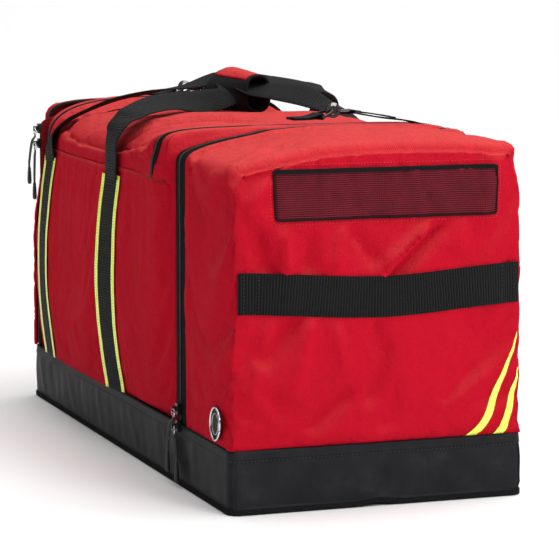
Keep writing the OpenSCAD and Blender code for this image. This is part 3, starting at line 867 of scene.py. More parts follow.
def lid_out(x, y, z, t):
    out = rumple(x, y, z, 7, 3.2 * MM, 41) + rumple(x, y, z, 22, 0.9 * MM, 42)
    out = out + creases(x, y, LID_FOLDS) + 9 * MM * bell(x, 0.04, 0.09) * bell(y, 0.07, 0.09)
    held = smoothstep(z, SEAM_Z, SEAM_Z + 0.03) * smoothstep(min(t, 1 - t), 0, 0.05)
    return out * held - 1.5 * MM * (1 - smoothstep(min(t, 1 - t), 0, 0.008))


def build_lid():
    half = 8 * MM
    n, m = 96, 110
    lid = over_top("lid_shell", lambda t, line: (LID_X0 + half) * (1 - t)
                   + (zip_c_x(*line.T) - half) * t, n, m, lid_out, "lid", "lid_panel")
    near_seam = [i * m + k for i in (1, 2, 3, 4, n - 5, n - 4, n - 3, n - 2) for k in range(2, m - 2)]
    drape(lid, {1.0: border(n, m, 2), 0.5: near_seam}, 0.014, 14, 1.0, 1.0, 9 * MM)


build_lid()


def near_strip_out(x, y, z, t):
    return rumple(x, y, z, 14, 1.4 * MM, 51) * smoothstep(min(t, 1 - t), 0, 0.2) \
        - 4 * MM * smoothstep(t, 0.75, 1) + 1.5 * MM * bell(z, SEAM_Z, 0.003)


over_top("near_top_strip_cloth", lambda t, line: (zip_c_x(*line.T) + 9 * MM) * (1 - t) + VALLEY_X * t,
                      80, 12, near_strip_out, "bag", "near_top_strip")
over_top("far_top_strip_cloth", lambda t, line: (MAIN_X0 + 1 * MM) * (1 - t) + (LID_X0 - 8 * MM) * t,
         80, 14, lambda x, y, z, t: rumple(x, y, z, 14, 1.4 * MM, 52) * smoothstep(min(t, 1 - t), 0, 0.2)
         - 3 * MM * (1 - smoothstep(t, 0, 0.2)), "bag", "far_top_strip")


def body_line(x, count):
    """The main body's outline beside the near zip at x, foot to foot."""
    top = shoulder_line(200)
    legs = np.linspace(TUB_H, SEAM_Z, 80)
    out = side_out(x, legs)
    line = np.vstack([join(-out, legs), top, join(out[::-1], legs[::-1])])
    return resample(line, count)


def flange():
    """The red strip that stands between the main body and the near zip."""
    valley, zipped = body_line(VALLEY_X - 1e-4, RING), pocket_line()
    normal = outwards_2d(zipped)
    side = 1 - smoothstep(zipped[:, 1], 0.40, 0.43)
    grid = []
    for t in np.linspace(0, 1, 12):
        line = valley * (1 - smoothstep(t, 0, 1)) + zipped * smoothstep(t, 0, 1)
        out = (3.0 * side + 2.0) * MM * math.sin(math.pi * min(1, t * 1.3))
        out -= 3.5 * MM * smoothstep(t, 0.8, 1)
        grid.append(join(VALLEY_X + (MAIN_X1 - 6 * MM - VALLEY_X) * t, line + normal * out[:, None]))
    return sheet("near_flange_cloth", np.stack(grid, axis=1), red_cloth, "bag")


flange()
left_skin = Skin(left_panel)
right_skin = Skin(right_panel)


# ---- Near end: mesh window, its binding, grab handles, stripes, badge ----

def rounded_loop(lo, hi, radius, count, turn=9):
    """A closed rounded rectangle from the middle of its lower edge, with turn points at a corner."""
    (y0, z0), (y1, z1) = lo, hi
    line = [((y0 + y1) / 2, z0)]
    corners = ((y1 - radius, z0 + radius), (y1 - radius, z1 - radius), (y0 + radius, z1 - radius),
               (y0 + radius, z0 + radius))
    for number, (cy, cz) in enumerate(corners):
        for a in np.radians(np.linspace(-90, 0, turn) + 90 * number):
            line.append((cy + radius * math.cos(a), cz + radius * math.sin(a)))
    return resample(line + line[:1], count)


def on_end(skin, yz, lift):
    """Places (y, z) on an end face, lifted from the cloth."""
    way = 1 if skin is near_skin else -1
    flat = np.asarray(yz).reshape(-1, 2)
    laid = skin.lay(join(way * END_X, flat), (way, 0, 0), lift)
    return laid.reshape(*np.asarray(yz).shape[:-1], 3)


frame_lo, frame_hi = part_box("mesh_binding")
OUT_X = np.array((1.0, 0, 0))


def build_window():
    y, z = np.meshgrid(np.linspace(frame_lo.y + 3 * MM, frame_hi.y - 3 * MM, 74),
                       np.linspace(frame_lo.z + 2 * MM, frame_hi.z - 3 * MM, 18), indexing="ij")
    mesh = on_end(near_skin, np.stack([y, z], -1), 1.6 * MM)
    folds = rumple(0, y, z * 0.4, 22, 1.2 * MM, 61)
    folds += creases(y, z, ((-62, 410, -40, 355, 8, 1.8), (-45, 400, -20, 355, 6, -1.4),
                             (45, 410, 85, 360, 8, 1.4), (-120, 360, -60, 400, 7, 1.2)))
    mesh[..., 0] += np.maximum(folds, -0.3 * MM)
    sheet("mesh_window_cloth", mesh, window_mesh, "near_pocket", "mesh_window", thickness=0.5 * MM)
    def loop(grow_lo, grow_y, grow_z, radius):
        return rounded_loop((frame_lo.y - grow_lo * MM, frame_lo.z - grow_lo * MM),
                            (frame_hi.y + grow_y * MM, frame_hi.z + grow_z * MM), radius * MM, 190)

    line = loop(-2, -2.5, -3.5, 2.5)
    width = 2.2 * MM + 3.6 * MM * smoothstep(line[:, 1], frame_hi.z - 7 * MM, frame_hi.z - 4 * MM)
    ribbon("mesh_binding_tape", on_end(near_skin, line, 2.0 * MM), [OUT_X] * 190, width, 1.6 * MM,
           binding_cloth, "near_pocket", "mesh_binding")
    stitches("window_stitches", on_end(near_skin, loop(3, 3, 4.5, 8), 0), [OUT_X] * 190, red_thread,
             "near_pocket", lift=0.3 * MM)


def end_handle(name, skin, node, body):
    way = 1 if skin is near_skin else -1
    lo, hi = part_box(node)
    ys = np.linspace(lo.y, hi.y, 75)
    b = np.cos(ys / hi.y * math.pi / 2) ** 2
    zs = (lo.z + hi.z) / 2 + (4.5 - 9 * b) * MM
    tracks = [on_end(skin, join(ys, zs + up), 1.4 * MM) for up in (-0.024, 0, 0.024)]
    stand = np.maximum.reduce([way * track[:, 0] for track in tracks])
    bowed = END_X + 1.5 * MM + 9.3 * MM * b
    free = smoothstep(0.150 - np.abs(ys), 0, 0.05)
    x = smoothed(np.maximum(stand, bowed * free), 5)
    path = join(way * np.maximum(x, stand * (1 - free)), ys, zs)
    out = way * OUT_X
    ribbon(name, path, [out] * len(path), WEB_W, 2.4 * MM, black_webbing, body, node)
    for y in (-0.158, -0.176, 0.158, 0.176):
        bar = join(np.interp(y, ys, path[:, 0]), y, np.linspace(-0.021, 0.021, 9) + np.interp(y, ys, zs))
        tag = f"{'left' if y < 0 else 'right'}_{int(abs(y) * 1000)}"
        stitches(f"{name}_stitches_{tag}", bar + out * 1.3 * MM, [out] * 9, black_thread, body)


def build_stripes():
    points, faces = [], []
    for foot_y, tip_y, tip_z in ((0.114, 0.181, 0.205), (0.151, 0.184, 0.160)):
        s = np.linspace(0, 1, 26)
        left = foot_y + (tip_y - foot_y) * (s ** 0.74 + 0.02 * np.sin(s * 9))
        wide = 0.0135 * (1 - s) ** 0.7 + 0.0003
        z = FOOT_Z + 1 * MM + (tip_z - FOOT_Z) * s
        across = np.linspace(0, 1, 4)
        yz = np.stack([left[:, None] + wide[:, None] * across, np.repeat(z[:, None], 4, axis=1)], -1)
        faces += grid_faces(26, 4, len(points))
        points += list(on_end(near_skin, yz, 1.3 * MM).reshape(-1, 3))
    faces = outward(points, faces, BAG_CENTRE)
    uvs = [points[i][1:] for f in faces for i in f]
    thicken(new_piece("reflective_stripes_film", points, faces, uvs, lime_tape, "near_pocket",
                      "reflective_stripes"), 0.2 * MM)


def build_badge():
    lo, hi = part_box("badge")
    centre = near_skin.lay([((lo.x + hi.x) / 2, -HALF_W, (lo.z + hi.z) / 2)], (0, -1, 0), 1.6 * MM)[0]
    tilt = math.radians(20)
    across = np.array((math.cos(tilt), 0, -math.sin(tilt)))
    up = np.array((math.sin(tilt), 0, math.cos(tilt)))
    out = np.array((0, -1.0, 0))
    half_a, half_b = 0.0185, 0.0215

    def oval(k, rise, count=48):
        a = np.linspace(0, 2 * math.pi, count, endpoint=False)[:, None]
        return centre + across * half_a * k * np.cos(a) + up * half_b * k * np.sin(a) + out * rise

    rings = np.stack([oval(k, r * MM) for k, r in ((1, 0), (1, 1.4), (0.95, 2.4), (0.86, 2.4), (0.82, 1.6),
                                                  (0.5, 2.0), (0.02, 2.1))])
    swept("badge_plate", rings, np.zeros(rings.shape[:2]), badge_black, "near_pocket", "badge")
    tube("badge_rim", oval(0.95, 2.2 * MM), 1.3 * MM, bright_metal, "near_pocket", closed=True)
    tube("badge_inner_line", oval(0.62, 2.1 * MM), 0.45 * MM, bright_metal, "near_pocket",
         closed=True, sides=6)


build_window()
end_handle("near_end_handle_webbing", near_skin, "near_end_handle", "near_pocket")
end_handle("far_end_handle_webbing", far_skin, "far_end_handle", "far_pocket")
build_stripes()
build_badge()


# ---- Zips: two tapes with a row of teeth each, every half on its own body ----

def zip_tapes(name, runs, halves):
    """runs are (teeth line, direction to the first half, normals, width); halves are (body, node)."""
    for number, (body, node) in enumerate(halves):
        points, faces, uvs, teeth = [], [], [], []
        for path, across, normals, width in runs:
            across, normals = unit(across) * (1, -1)[number], unit(normals)
            ts = np.array((0.0005, 0.3 * width, 0.75 * width, width + 2.5 * MM))
            dips = np.array((0.0, 0.0, -0.3, -1.0)) * MM
            grid = path[:, None] + across[:, None] * ts[:, None] + normals[:, None] * dips[:, None]
            run_faces = grid_faces(*grid.shape[:2])
            flat = grid.reshape(-1, 3)
            f = run_faces[len(run_faces) // 2]
            if np.cross(flat[f[1]] - flat[f[0]], flat[f[2]] - flat[f[0]]) @ normals[len(path) // 2] < 0:
                run_faces = [f[::-1] for f in run_faces]
            uvs += corner_uvs(run_faces, grid_uvs(grid))
            faces += [tuple(len(points) + i for i in f) for f in run_faces]
            points += list(flat)
            count = int(np.linalg.norm(np.diff(path, axis=0), axis=1).sum() / (2.4 * MM))
            teeth.append(resample(np.hstack([path, across, normals]), 2 * count)[number::2])
        half = "ab"[number]
        thicken(new_piece(f"{name}_tape_{half}", points, faces, uvs, zip_cloth, body, node), 1.0 * MM)
        teeth = np.vstack(teeth)
        at, across, normals = teeth[:, :3], unit(teeth[:, 3:6]), unit(teeth[:, 6:])
        at += across * 0.9 * MM + normals * 0.7 * MM
        beads(f"{name}_teeth_{half}", at, np.cross(across, normals), across, normals,
              (0.75 * MM, 2.1 * MM, 1.1 * MM), zip_nylon, body)


def end_zip(name, x, width, way, halves):
    """The zip round an end pocket's opening, whose bag half lies on the way side."""
    line = pocket_line(240) if x > 0 else far_line(240)
    normal = outwards_2d(line)
    line = line - normal * 1.0 * MM
    wander = rumple(0, *line.T, 9, 1.3 * MM, 71) * smoothstep(line[:, 1], 0.1, 0.16)
    path = join(x + wander, line)
    zip_tapes(name, [(path, np.tile((way, 0, 0), (240, 1)), join(0, normal), width)], halves)


end_zip("near_zip", bag_tape_hi.x + 0.2 * MM, bag_tape_hi.x - bag_tape_lo.x, -1,
        (("bag", "near_zip_bag_tape"), ("near_pocket", "near_zip_pocket_tape")))
end_zip("far_zip", far_tape_lo.x - 0.2 * MM, far_tape_hi.x - far_tape_lo.x, 1,
        (("bag", "far_zip_bag_tape"), ("far_pocket", "far_zip_pocket_tape")))


def lid_zip():
    half = 8.5 * MM
    toward = np.tile((-1.0, 0, 0), (150, 1))
    runs = []
    for way, x in ((1, zip_c_x(*main_line(150).T) + 0.2 * MM), (-1, np.full(150, LID_X0 - 0.2 * MM))):
        line = top_line(x, 150)
        normal = outwards_2d(line)
        runs.append((join(x, line - normal * 0.3 * MM), way * toward, join(0, normal), half))
    xs = np.linspace(LID_X0, LID_X1, 120)
    z = SEAM_Z - 0.2 * MM
    runs.append((join(xs, side_out(xs, z) - 0.5 * MM, z), [(0, 0, 1.0)] * 120, [(0, 1.0, 0)] * 120, half))
    zip_tapes("lid_zip", runs, (("lid", "lid_zip_lid_tape"), ("bag", "lid_zip_bag_tape")))


lid_zip()


# ---- Base tub ----

def tub_loop(half_x, half_y, radius, count):
    """A rounded rectangle (x, y) from the middle of the left side, without its closing point."""
    return rounded_loop((-half_x, -half_y), (half_x, half_y), radius, count, 7)[:-1]


def outwards_loop(loop):
    t = np.roll(loop, -1, axis=0) - np.roll(loop, 1, axis=0)
    return unit(join(t[:, 1], -t[:, 0]))


# Folds of the tub over (x, z) on its sides, where they lean towards the ends, and (y, z) on its ends
TUB_SIDE_FOLDS = [(-430 + 52 * i + 11 * (i % 3), 70, -395 + 52 * i + 9 * (i % 2), 12, 8 + 3 * (i % 3),
                   (1.5, -1.3, 1.1)[i % 3]) for i in range(15)]
TUB_SIDE_FOLDS += [(235, 72, 285, 18, 12, 3), (262, 70, 312, 16, 10, -2.6)]
TUB_END_FOLDS = ((4, 50, 0, 4, 6, -4.5), (-22, 40, -12, 6, 13, 3), (120, 62, 155, 16, 14, 1.6),
                 (-150, 60, -120, 12, 16, -1.2), (-80, 66, -60, 14, 14, 1), (165, 30, 186, 6, 10, 2.4))


def build_tub():
    loop = tub_loop(END_X, HALF_W, 11 * MM, 461)
    normal = outwards_loop(loop)
    x, y = loop.T
    on_end_wall = smoothstep(np.abs(x), END_X - 0.012, END_X - 0.001)
    rows = []
    heights = np.array((0, 1.5, 4, 7, 8, 11, 17, 24, 32, 40, 48, 56, 62, 65.6, 66.4, 70, 75, 78)) * MM
    for z in heights:
        swell = 2.6 * MM * math.sin(math.pi * min(1, z / TUB_H * 1.05)) ** 0.7
        out = np.full(len(loop), swell)
        free = float(smoothstep(z, 0.008, 0.018)) * float(smoothstep(TUB_H - z, 0.008, 0.022))
        out += rumple(x, y, z * 0.6, 14, 1.7 * MM, 81) * free
        out += creases(x, z, TUB_SIDE_FOLDS) * (1 - on_end_wall) * free
        out += creases(y, z, TUB_END_FOLDS) * on_end_wall * max(free, 0.25)
        out += 0.9 * MM * float(z > 0.066) + 1.1 * MM * float(0.001 < z < 0.0072)
        out -= 3.0 * MM * (1 - smoothstep(z, 0, 0.004))
        rows.append(join(loop + normal * out[:, None], z))
    rows[0][:, 2] = 0.3 * MM
    ring = np.stack(rows)
    lift = (bell(ring[..., 1], 0.0, 0.020) * 3.2 * MM) * smoothstep(ring[..., 0], END_X - 0.03, END_X)
    ring[..., 2] += lift * (1 - smoothstep(ring[..., 2], 0.006, 0.05))
    n, m = ring.shape[:2]
    uv = grid_uvs(np.concatenate([ring, ring[:, :1]], axis=1))[..., ::-1]
    wall = ((0, 0), (0, 1), (1, 1), (1, 0))
    faces = [tuple((i + up) * m + (k + side) % m for up, side in wall)
             for i in range(n - 1) for k in range(m)]
    uvs = [uv[i + up, k + side] for i in range(n - 1) for k in range(m) for up, side in wall]
    points = list(ring.reshape(-1, 3))
    bottom, start = [], 0
    for shrink in range(1, 10):
        first = len(points)
        points += list(join(loop * (1 - 0.1 * shrink), 0.4 * MM))
        bottom += [(start + (k + 1) % m, start + k, first + k, first + (k + 1) % m) for k in range(m)]
        start = first
    points.append(np.array((0, 0, 0.4 * MM)))
    bottom += [(start + (k + 1) % m, start + k, len(points) - 1) for k in range(m)]
    uvs += [points[i][:2] for f in bottom for i in f]
    tub = new_piece("base_tub_skin", points, faces + bottom, uvs, base_cloth, "bag", "base_tub")
    thicken(tub, 1.6 * MM)

    out = join(normal, 0)
    out = np.vstack([out, out[:1]])
    seam = ring[-4] * 0.5 + ring[-3] * 0.5 - np.array((0, 0, 2.6 * MM))
    stitches("tub_top_stitches", np.vstack([seam, seam[:1]]), out, black_thread, "bag",
             slot="base_tarpaulin", pitch=5.0 * MM, length=3.4 * MM, width=0.45 * MM, lift=1.1 * MM)
    low = np.vstack([ring[3], ring[3][:1]]) - np.array((0, 0, 3.2 * MM))
    ribbon("tub_bottom_binding", low + out * 0.3 * MM, out, 7 * MM, 1.4 * MM, binding_cloth, "bag")
    for i, (sx, sy) in enumerate(((1, -1), (1, 1), (-1, -1), (-1, 1))):
        corner = np.array((sx * (END_X - 3 * MM), sy * (HALF_W - 3 * MM)))
        k = int(np.argmin(np.linalg.norm(loop - corner, axis=1)))
        tube(f"tub_corner_seam_{i + 1}", ring[3:-4, k] + out[k] * 0.2 * MM, 1.0 * MM, base_cloth, "bag")


build_tub()


# ---- Straps on the sides, carrying handles, grip ----

def side_strap(side, strap_x, tag, *replaced):
    skin = left_skin if side < 0 else right_skin
    zs = np.linspace(TUB_H + 0.5 * MM, SEAM_Z - 11 * MM, 66)
    shifts = np.array((-30, -15, 0, 15, 30)) * MM
    tracks = [skin.lay(join(strap_x + shift, side * HALF_W, zs), (0, side, 0)) for shift in shifts]
    slope = smoothed((tracks[4] - tracks[0])[:, 1] / 0.060, 11)
    stand = np.maximum.reduce([side * (t[:, 1] - slope * shift) for t, shift in zip(tracks, shifts)])
    middle = join(tracks[2][:, 0], side * (smoothed(stand, 7) + 1.2 * MM), zs)
    across = unit(join(1, slope, 0))
    normals = side * join(-across[:, 1], across[:, 0], 0)
    ribbon(f"{tag}_webbing", middle, normals, SIDE_WEB + 5 * MM, 1.8 * MM, black_webbing, "bag", *replaced)
    piping = ["reflective_piping"] if replaced and side < 0 else []
    for e, end in ((-1, "far"), (1, "near")):
        edge = middle + across * (e * 26.5 + 0.6 * np.sin(zs * 34))[:, None] * MM + normals * 1.2 * MM
        ribbon(f"{tag}_lime_{end}", edge, normals, 9 * MM, 0.8 * MM, lime_tape, "bag", *piping)
        stitches(f"{tag}_stitches_{end}", edge + normals * 0.4 * MM, normals, black_thread, "bag",
                 slot="reflective", pitch=4.0 * MM, length=2.4 * MM, width=0.3 * MM)


for strap_number, strap_x in enumerate(STRAP_XS):
    for side, end in ((LEFT, "left"), (RIGHT, "right")):
        side_strap(side, strap_x, f"{end}_strap_{strap_number + 1}", *[f"side_straps_{end}"][strap_number:])


cuff_lo, cuff_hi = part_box("grip_cuff")
GRIP_X = (cuff_lo.x + cuff_hi.x) / 2
GRIP_Y = (cuff_lo.y + cuff_hi.y) / 2
GRIP_Z = (cuff_lo.z + cuff_hi.z) / 2


# Each handle leg: its shift along the bag at the grip in mm, and rows from its root to the grip. A row has
# the shares of the way along and across the bag, height and width in mm, and the direction its face looks to
LEGS = {
    "near_left": (15, (
        (0, 0.005, 366, 52, 0, -1, 0), (0, 0.01, 392, 52, 0, -1, 0), (0, 0.012, 416, 52, 0, -1, 0.2),
        (0.01, 0.05, 436, 52, 0.1, -0.7, 0.7), (0.09, 0.12, 447, 50, 0.15, -0.3, 0.93),
        (0.2, 0.21, 456, 48, 0.25, -0.1, 0.95), (0.63, 0.46, 463, 48, 0.37, 0.1, 0.88),
        (0.9, 0.745, 461, 46, 0.58, 0.1, 0.68), (1, 0.95, 470, 36, 0.5, 0.1, 0.7))),
    "far_left": (-40, (
        (0, 0.02, 366, 52, 0, -1, 0), (0, 0.02, 390, 52, -0.1, -1, 0.2),
        (0.03, 0.05, 410, 50, -0.28, -0.8, 0.7), (0.1, 0.13, 427, 50, -0.28, -0.49, 0.8),
        (0.19, 0.24, 441, 50, -0.25, -0.4, 0.85), (0.32, 0.4, 457, 50, -0.2, -0.2, 0.95),
        (0.5, 0.61, 469, 50, -0.17, -0.13, 0.97), (0.66, 0.76, 476, 48, 0, -0.15, 0.97),
        (0.86, 0.9, 486, 42, 0.3, -0.25, 0.9), (1, 0.98, 490, 34, 0.3, -0.2, 0.9))),
    "near_right": (35, (
        (0, 0.005, 366, 52, 0, 1, 0), (0, 0, 388, 52, 0, 1, 0), (0, 0.02, 406, 50, 0, 1, 0.2),
        (0.03, 0.1, 424, 50, 0.05, 0.7, 0.7), (0.09, 0.24, 440, 50, 0.2, 0.3, 0.93),
        (0.2, 0.4, 453, 49, 0.3, 0.1, 0.93), (0.36, 0.6, 470, 48, 0.5, -0.1, 0.84),
        (0.62, 0.78, 477, 44, 0.55, -0.13, 0.8), (1, 0.92, 479, 36, 0.5, -0.1, 0.8))),
    "far_right": (-40, (
        (0, 0.02, 366, 52, 0, 1, 0), (0.06, -0.02, 395, 50, 0, 1, 0), (0.28, -0.06, 425, 50, 0, 1, 0.1),
        (0.58, -0.07, 452, 50, 0.1, 0.9, 0.4), (0.74, 0.03, 468, 50, 0.15, 0.5, 0.85),
        (0.84, 0.2, 475, 50, 0.25, 0.1, 0.95), (0.9, 0.5, 483, 48, 0.3, 0, 0.95),
        (0.96, 0.75, 490, 42, 0.3, 0, 0.95), (1, 0.93, 491, 34, 0.3, 0, 0.95))),
}


def leg(end, side):
    """Rows of (place, normal, width) from a handle's root on the side panel to the grip."""
    shift, rows = LEGS[f"{end}_{'left' if side < 0 else 'right'}"]
    root = np.array((STRAP_XS[0 if end == "near" else 1], side * (HALF_W + 10 * MM)))
    way = np.array((GRIP_X + shift * MM, GRIP_Y)) - root
    return np.array([(*(root + way * (along, across)), z * MM, *unit(face), width * MM)
                     for along, across, z, width, *face in rows])


def handle(name, side, node, body):
    both = smooth_path(np.vstack([leg("near", side), leg("far", side)[::-1]]), 170)
    return ribbon(name, both[:, :3], both[:, 3:6], both[:, 6], 2.4 * MM, black_webbing, body, node)


handle("left_handle_webbing", LEFT, "handle_left", "left_handle")
right_handle = handle("right_handle_webbing", RIGHT, "handle_right", "bag")
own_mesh(right_handle)


def cuff_ring(t, k):
    """Outline of the grip cuff at share t of its length, scaled by k: its far end splays to the left."""
    a = np.linspace(0, 2 * math.pi, 56, endpoint=False)
    c, s = np.cos(a), np.sin(a)
    y = (22 - 6 * t) * MM * k * np.sign(c) * np.abs(c) ** 0.78
    z = (29 - 6 * t) * MM * k * np.sign(s) * np.abs(s) ** 0.78
    y += GRIP_Y + (28 * t - 6) * MM + 16 * MM * (1 - t) * s
    return join(cuff_lo.x + (cuff_hi.x - cuff_lo.x) * t, y, GRIP_Z - (11 + t) * MM + z)


def build_cuff():
    rings = np.stack([cuff_ring(t, 1) for t in np.linspace(0, 1, 26)])
    swell = rumple(*np.moveaxis(rings, -1, 0), 40, 0.05, 91)
    rings += (rings - rings.mean(axis=1, keepdims=True)) * swell[..., None]
    us = np.tile(np.linspace(0, 0.165, 56), (26, 1))
    cuff = swept("grip_cuff_wrap", rings, us, herringbone_webbing, "left_handle", "grip_cuff", cap=False)
    thicken(cuff, 3 * MM)
    for i, t in enumerate((0.02, 0.98)):
        tube(f"grip_cuff_edge_{i + 1}", cuff_ring(t, 1.03), 1.6 * MM, binding_cloth, "left_handle",
             closed=True, slot="webbing")
    grid = np.stack([cuff_ring(t, 1.17)[11:23] for t in np.linspace(0.08, 0.93, 22)])
    grid[..., 2] += rumple(*np.moveaxis(grid, -1, 0), 60, 0.5 * MM, 92)
    sheet("cuff_patch_cloth", grid, red_cloth, "left_handle", "cuff_patch", thickness=1.4 * MM,
          centre=(GRIP_X, GRIP_Y, GRIP_Z))


build_cuff()


# ---- D-ring tabs, shoulder strap ----

def ring_tab(name, node):
    lo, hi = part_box(node)
    x = (lo.x + hi.x) / 2
    bar_y, bar_z = hi.y - 4.1 * MM, hi.z - 4.1 * MM
    bend = np.radians(np.linspace(115, -85, 9))
    loop = [(bar_y + 3.6 * MM * math.cos(a), bar_z + 3.6 * MM * math.sin(a)) for a in bend]
    above = [(y, LID_CROWN + z * MM) for y, z in ((lo.y, 2.6), (-0.008, 2.8), (0.004, 4.6))]
    below = [(y, LID_CROWN + z * MM) for y, z in ((0.006, 1.4), (-0.008, 0.9), (lo.y, 0.9))]
    path = smooth_path([(x, *p) for p in above + loop + below], 46)
    normals = np.cross((1.0, 0, 0), unit(np.gradient(path, axis=0)))
    ribbon(name, path, normals, hi.x - lo.x, 1.6 * MM, black_webbing, "bag", node)
    box = ((-11, -20), (11, -20), (11, -2), (-11, -2), (-11, -20), (11, -2))
    line = resample([(x + a * MM, b * MM, LID_CROWN + 3.5 * MM) for a, b in box], 90)
    stitches(f"{name}_stitches", line, [(0, 0, 1)] * 90, black_thread, "bag", 3.0 * MM, 2.0 * MM)


ring_tab("near_ring_tab_webbing", "near_ring_tab")
ring_tab("far_ring_tab_webbing", "far_ring_tab")


def shoulder_strap():
    lo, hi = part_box("shoulder_strap")
    width = 0.038
    near_x, far_x = hi.x - width / 2, lo.x + width / 2
    mid, half = (near_x + far_x) / 2, (near_x - far_x) / 2
    over = [(0.0665, 0.463, 0.12, 1), (0.100, 0.457, 0.1, 1), (0.140, 0.4515, 0.2, 1),
            (0.168, 0.441, 0.45, 1), (0.188, 0.424, 0.9, 0.8), (0.201, 0.402, 1, 0.25)]
    rows = [(near_x, y, z, 0, ny, nz) for y, z, ny, nz in over]
    for s in np.linspace(1, -1, 23):
        x, z = mid + half * math.copysign(abs(s) ** 0.9, s), 0.150 + 0.216 * abs(s) ** 2.6
        rows.append((x, max(MAIN_HALF_W, float(side_out(x, z))) + 12 * MM, z, 0, 1, 0.02))
    rows += [(far_x, y, z, 0, ny, nz) for y, z, ny, nz in reversed(over)]
    path = smooth_path(rows, 220)
    ribbon("shoulder_strap_webbing", path[:, :3], path[:, 3:], width, 2.0 * MM, black_webbing, "bag",
           "shoulder_strap")
    up = (0, 0.15, 1)
    for tag, x in (("near", near_x), ("far", far_x)):
        fold = smooth_path([(x, 0.062, 0.4654), (x, 0.085, 0.4627), (x, 0.115, 0.4574)], 14)
        ribbon(f"{tag}_strap_fold", fold, [up] * 14, width, 1.8 * MM, black_webbing, "bag")
        seam = [(x - 0.014, 0.108, 0.4598), (x + 0.014, 0.108, 0.4598)]
        stitches(f"{tag}_strap_stitches", seam, [up] * 2, black_thread, "bag", 3.2 * MM, 2.2 * MM)


shoulder_strap()


# ---- Zip pulls: a loop of cord from the ring into a tapered rubber tip ----

def zip_pull(node, ring_node, body):
    lo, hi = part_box(node)
    ring_lo, ring_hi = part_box(ring_node)
    ring = (ring_lo + ring_hi) / 2
    tip_x = hi.x - 4 * MM if hi.x - ring.x > ring.x - lo.x else lo.x + 4 * MM
    tip_y = lo.y + 3 * MM if ring.y < 0 else hi.y - 3 * MM
    if abs(tip_x - ring.x) < 2 * MM:
        tip_x = ring.x
    tip_top = lo.z + 26 * MM
    gap = 2.3 * MM
    top_z = ring_lo.z + 0.8 * MM
    knot_x = ring.x + (tip_x - ring.x) * 0.55
    down = [(ring.x, 0.6 * gap, ring.y, top_z - 2 * MM),
            (knot_x, 1.3 * gap, (ring.y + tip_y) / 2, top_z - 11 * MM),
            (tip_x, gap, tip_y, tip_top + 8 * MM), (tip_x, 1.2 * MM, tip_y, tip_top - 3 * MM)]
    bight = (ring.x, ring.y + math.copysign(0.3 * MM, ring.y), top_z + 1.9 * MM)
    up, down = ([(x + way * dx, y, z) for x, dx, y, z in down] for way in (-1, 1))
    path = up[::-1] + [bight] + down
    tube(f"{node}_cord", smooth_path(path, 60), 1.15 * MM, rubber, body, node)

    a = np.linspace(0, 2 * math.pi, 20, endpoint=False)
    zs = np.array((0, 1.2, 3, 8, 16, 21, 24, 25.4, 26)) * MM + lo.z
    wide = np.array((1.8, 3.2, 3.9, 3.8, 3.3, 2.9, 2.8, 2.3, 1.4)) * MM
    rings = [join(tip_x + w * np.cos(a), tip_y + w * 0.78 * np.sin(a), z) for z, w in zip(zs, wide)]
    swept(f"{node}_tip", np.stack(rings), np.outer(wide, a), rubber, body)
    for i in range(4):
        z = lo.z + (6 + 3.6 * i) * MM
        ring_line = join(tip_x + 3.75 * MM * np.cos(a), tip_y + 2.95 * MM * np.sin(a), z)
        tube(f"{node}_rib_{i + 1}", ring_line, 0.45 * MM, rubber, body, closed=True, sides=6)


for which, level, body in (("near", "upper", "near_pull_a"), ("near", "lower", "near_pull_b"),
                           ("lid", "upper", "lid_pull_a"), ("lid", "lower", "lid_pull_b")):
    zip_pull(f"{which}_pull_{level}", f"{which}_ring_{level}", body)
zip_pull("far_pull", "far_ring", "far_pull_a")


# ---- Inside: dividers and stiffener board under the lining ----

def divider(name, node):
    lo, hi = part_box(node)
    line = pocket_line(RING)
    inside = line - outwards_2d(line) * 3 * MM
    x = (lo.x + hi.x) / 2
    rim = join(x, inside)
    foot = join(x, np.linspace(rim[0, 1] + 3 * MM, rim[-1, 1] - 3 * MM, FACE + 1), lo.z)
    rim[0], rim[-1] = foot[0], foot[-1]
    face = coons(foot, rim[LEG:LEG + FACE + 1], rim[:LEG + 1], rim[:LEG + FACE - 1:-1])
    face[..., 0] += rumple(*np.moveaxis(face, -1, 0), 11, 1.1 * MM, 95)
    piece = sheet(name, face, lining_cloth, "bag", node, thickness=3.2 * MM)
    piece.modifiers["thickness"].offset = 0


divider("near_divider_cloth", "near_divider")
divider("far_divider_cloth", "far_divider")


def board():
    lo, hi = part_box("base_board")
    loop = tub_loop(hi.x, hi.y, 8 * MM, 241)
    lowest = lo.z + 0.4 * MM
    edge = ((6, lowest), (1.5, lowest), (0, lo.z + 1.4 * MM), (0.8, hi.z - 0.6 * MM), (3, hi.z))
    rings = [join(loop - outwards_loop(loop) * inset * MM, z) for inset, z in edge]
    for k in np.linspace(0.92, 0.02, 12):
        rings.append(join(loop * k, hi.z + rumple(*(loop * k).T, 0, 18, 0.5 * MM, 96)))
    rings = np.stack(rings)
    piece = swept("base_board_cover", rings, rings[..., 0], lining_cloth, "bag", "base_board", slot="board")
    mesh = piece.data
    for loop in mesh.loops:
        mesh.uv_layers[0].data[loop.index].uv = mesh.vertices[loop.vertex_index].co.xy


board()


# ---- Hard fittings kept from the CAD, in their own finishes ----

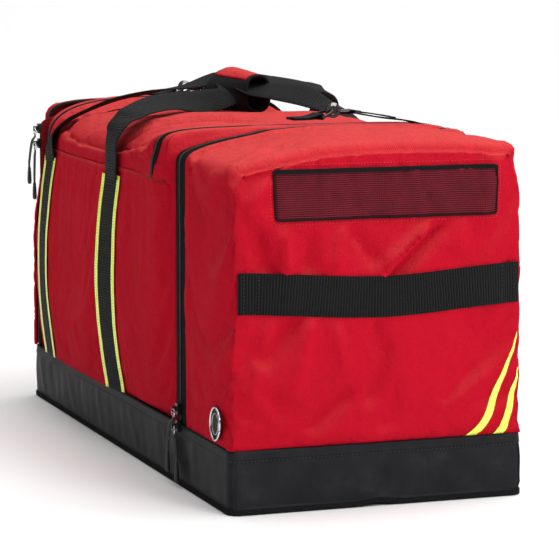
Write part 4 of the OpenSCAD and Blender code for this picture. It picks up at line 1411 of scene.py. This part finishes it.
FINISHES = {
    black_metal: ("near_slider_upper", "near_slider_lower", "lid_slider_upper", "lid_slider_lower",
                  "far_slider", "near_hook", "far_hook", "near_d_ring", "far_d_ring"),
    bright_metal: ("near_ring_upper", "near_ring_lower", "lid_ring_upper", "lid_ring_lower", "far_ring",
                   "near_hook_gate", "far_hook_gate"),
    board_plastic: ("strap_adjuster",),
}
for finish, nodes in FINISHES.items():
    for node in nodes:
        fitting = bpy.data.objects[node]
        fitting.data.materials.clear()
        fitting.data.materials.append(finish)


# ---- Light and floor ----

def area_light(name, place, aim, size, power):
    data = bpy.data.lights.new(name, "AREA")
    data.shape = "RECTANGLE"
    data.size, data.size_y = size
    data.energy = power
    light = bpy.data.objects.new(name, data)
    light.location = place
    light.rotation_euler = (Vector(aim) - Vector(place)).to_track_quat("-Z", "Y").to_euler()
    bpy.context.scene.collection.objects.link(light)


area_light("overhead", (0.9, 0.7, 2.6), (0.2, 0, 0.3), (2.0, 1.4), 14)
area_light("front", (3.4, 1.1, 1.5), (0.4, 0, 0.25), (1.3, 1.1), 48)

world = bpy.data.worlds.new("studio")
world.use_nodes = True
sky = Look(world.node_tree)
direction = sky.add("SeparateXYZ", Vector=sky.add("TexCoord").outputs["Generated"])
glow = sky.times(sky.maths("POWER", sky.maths("MAXIMUM", direction.outputs[2], 0.0), 3.0), 2.85)
glow = sky.plus(sky.times(glow, sky.plus(sky.times(direction.outputs[1], 0.8), 1.0)), 0.05)
sky.wire(glow, sky.nodes["Background"].inputs["Strength"])
sky.wire((1, 1, 1, 1), sky.nodes["Background"].inputs["Color"])
bpy.context.scene.world = world

floor_mesh = bpy.data.meshes.new("floor")
floor_mesh.from_pydata([(-90, -90, 0), (90, -90, 0), (90, 90, 0), (-90, 90, 0)], [], [(0, 1, 2, 3)])
floor_mesh.materials.append(Surface("floor_paint", (0.88, 0.88, 0.88), 0.7, specular=0.2).material)
floor = bpy.data.objects.new("floor", floor_mesh)
floor.location.z = -0.0005
bpy.context.scene.collection.objects.link(floor)
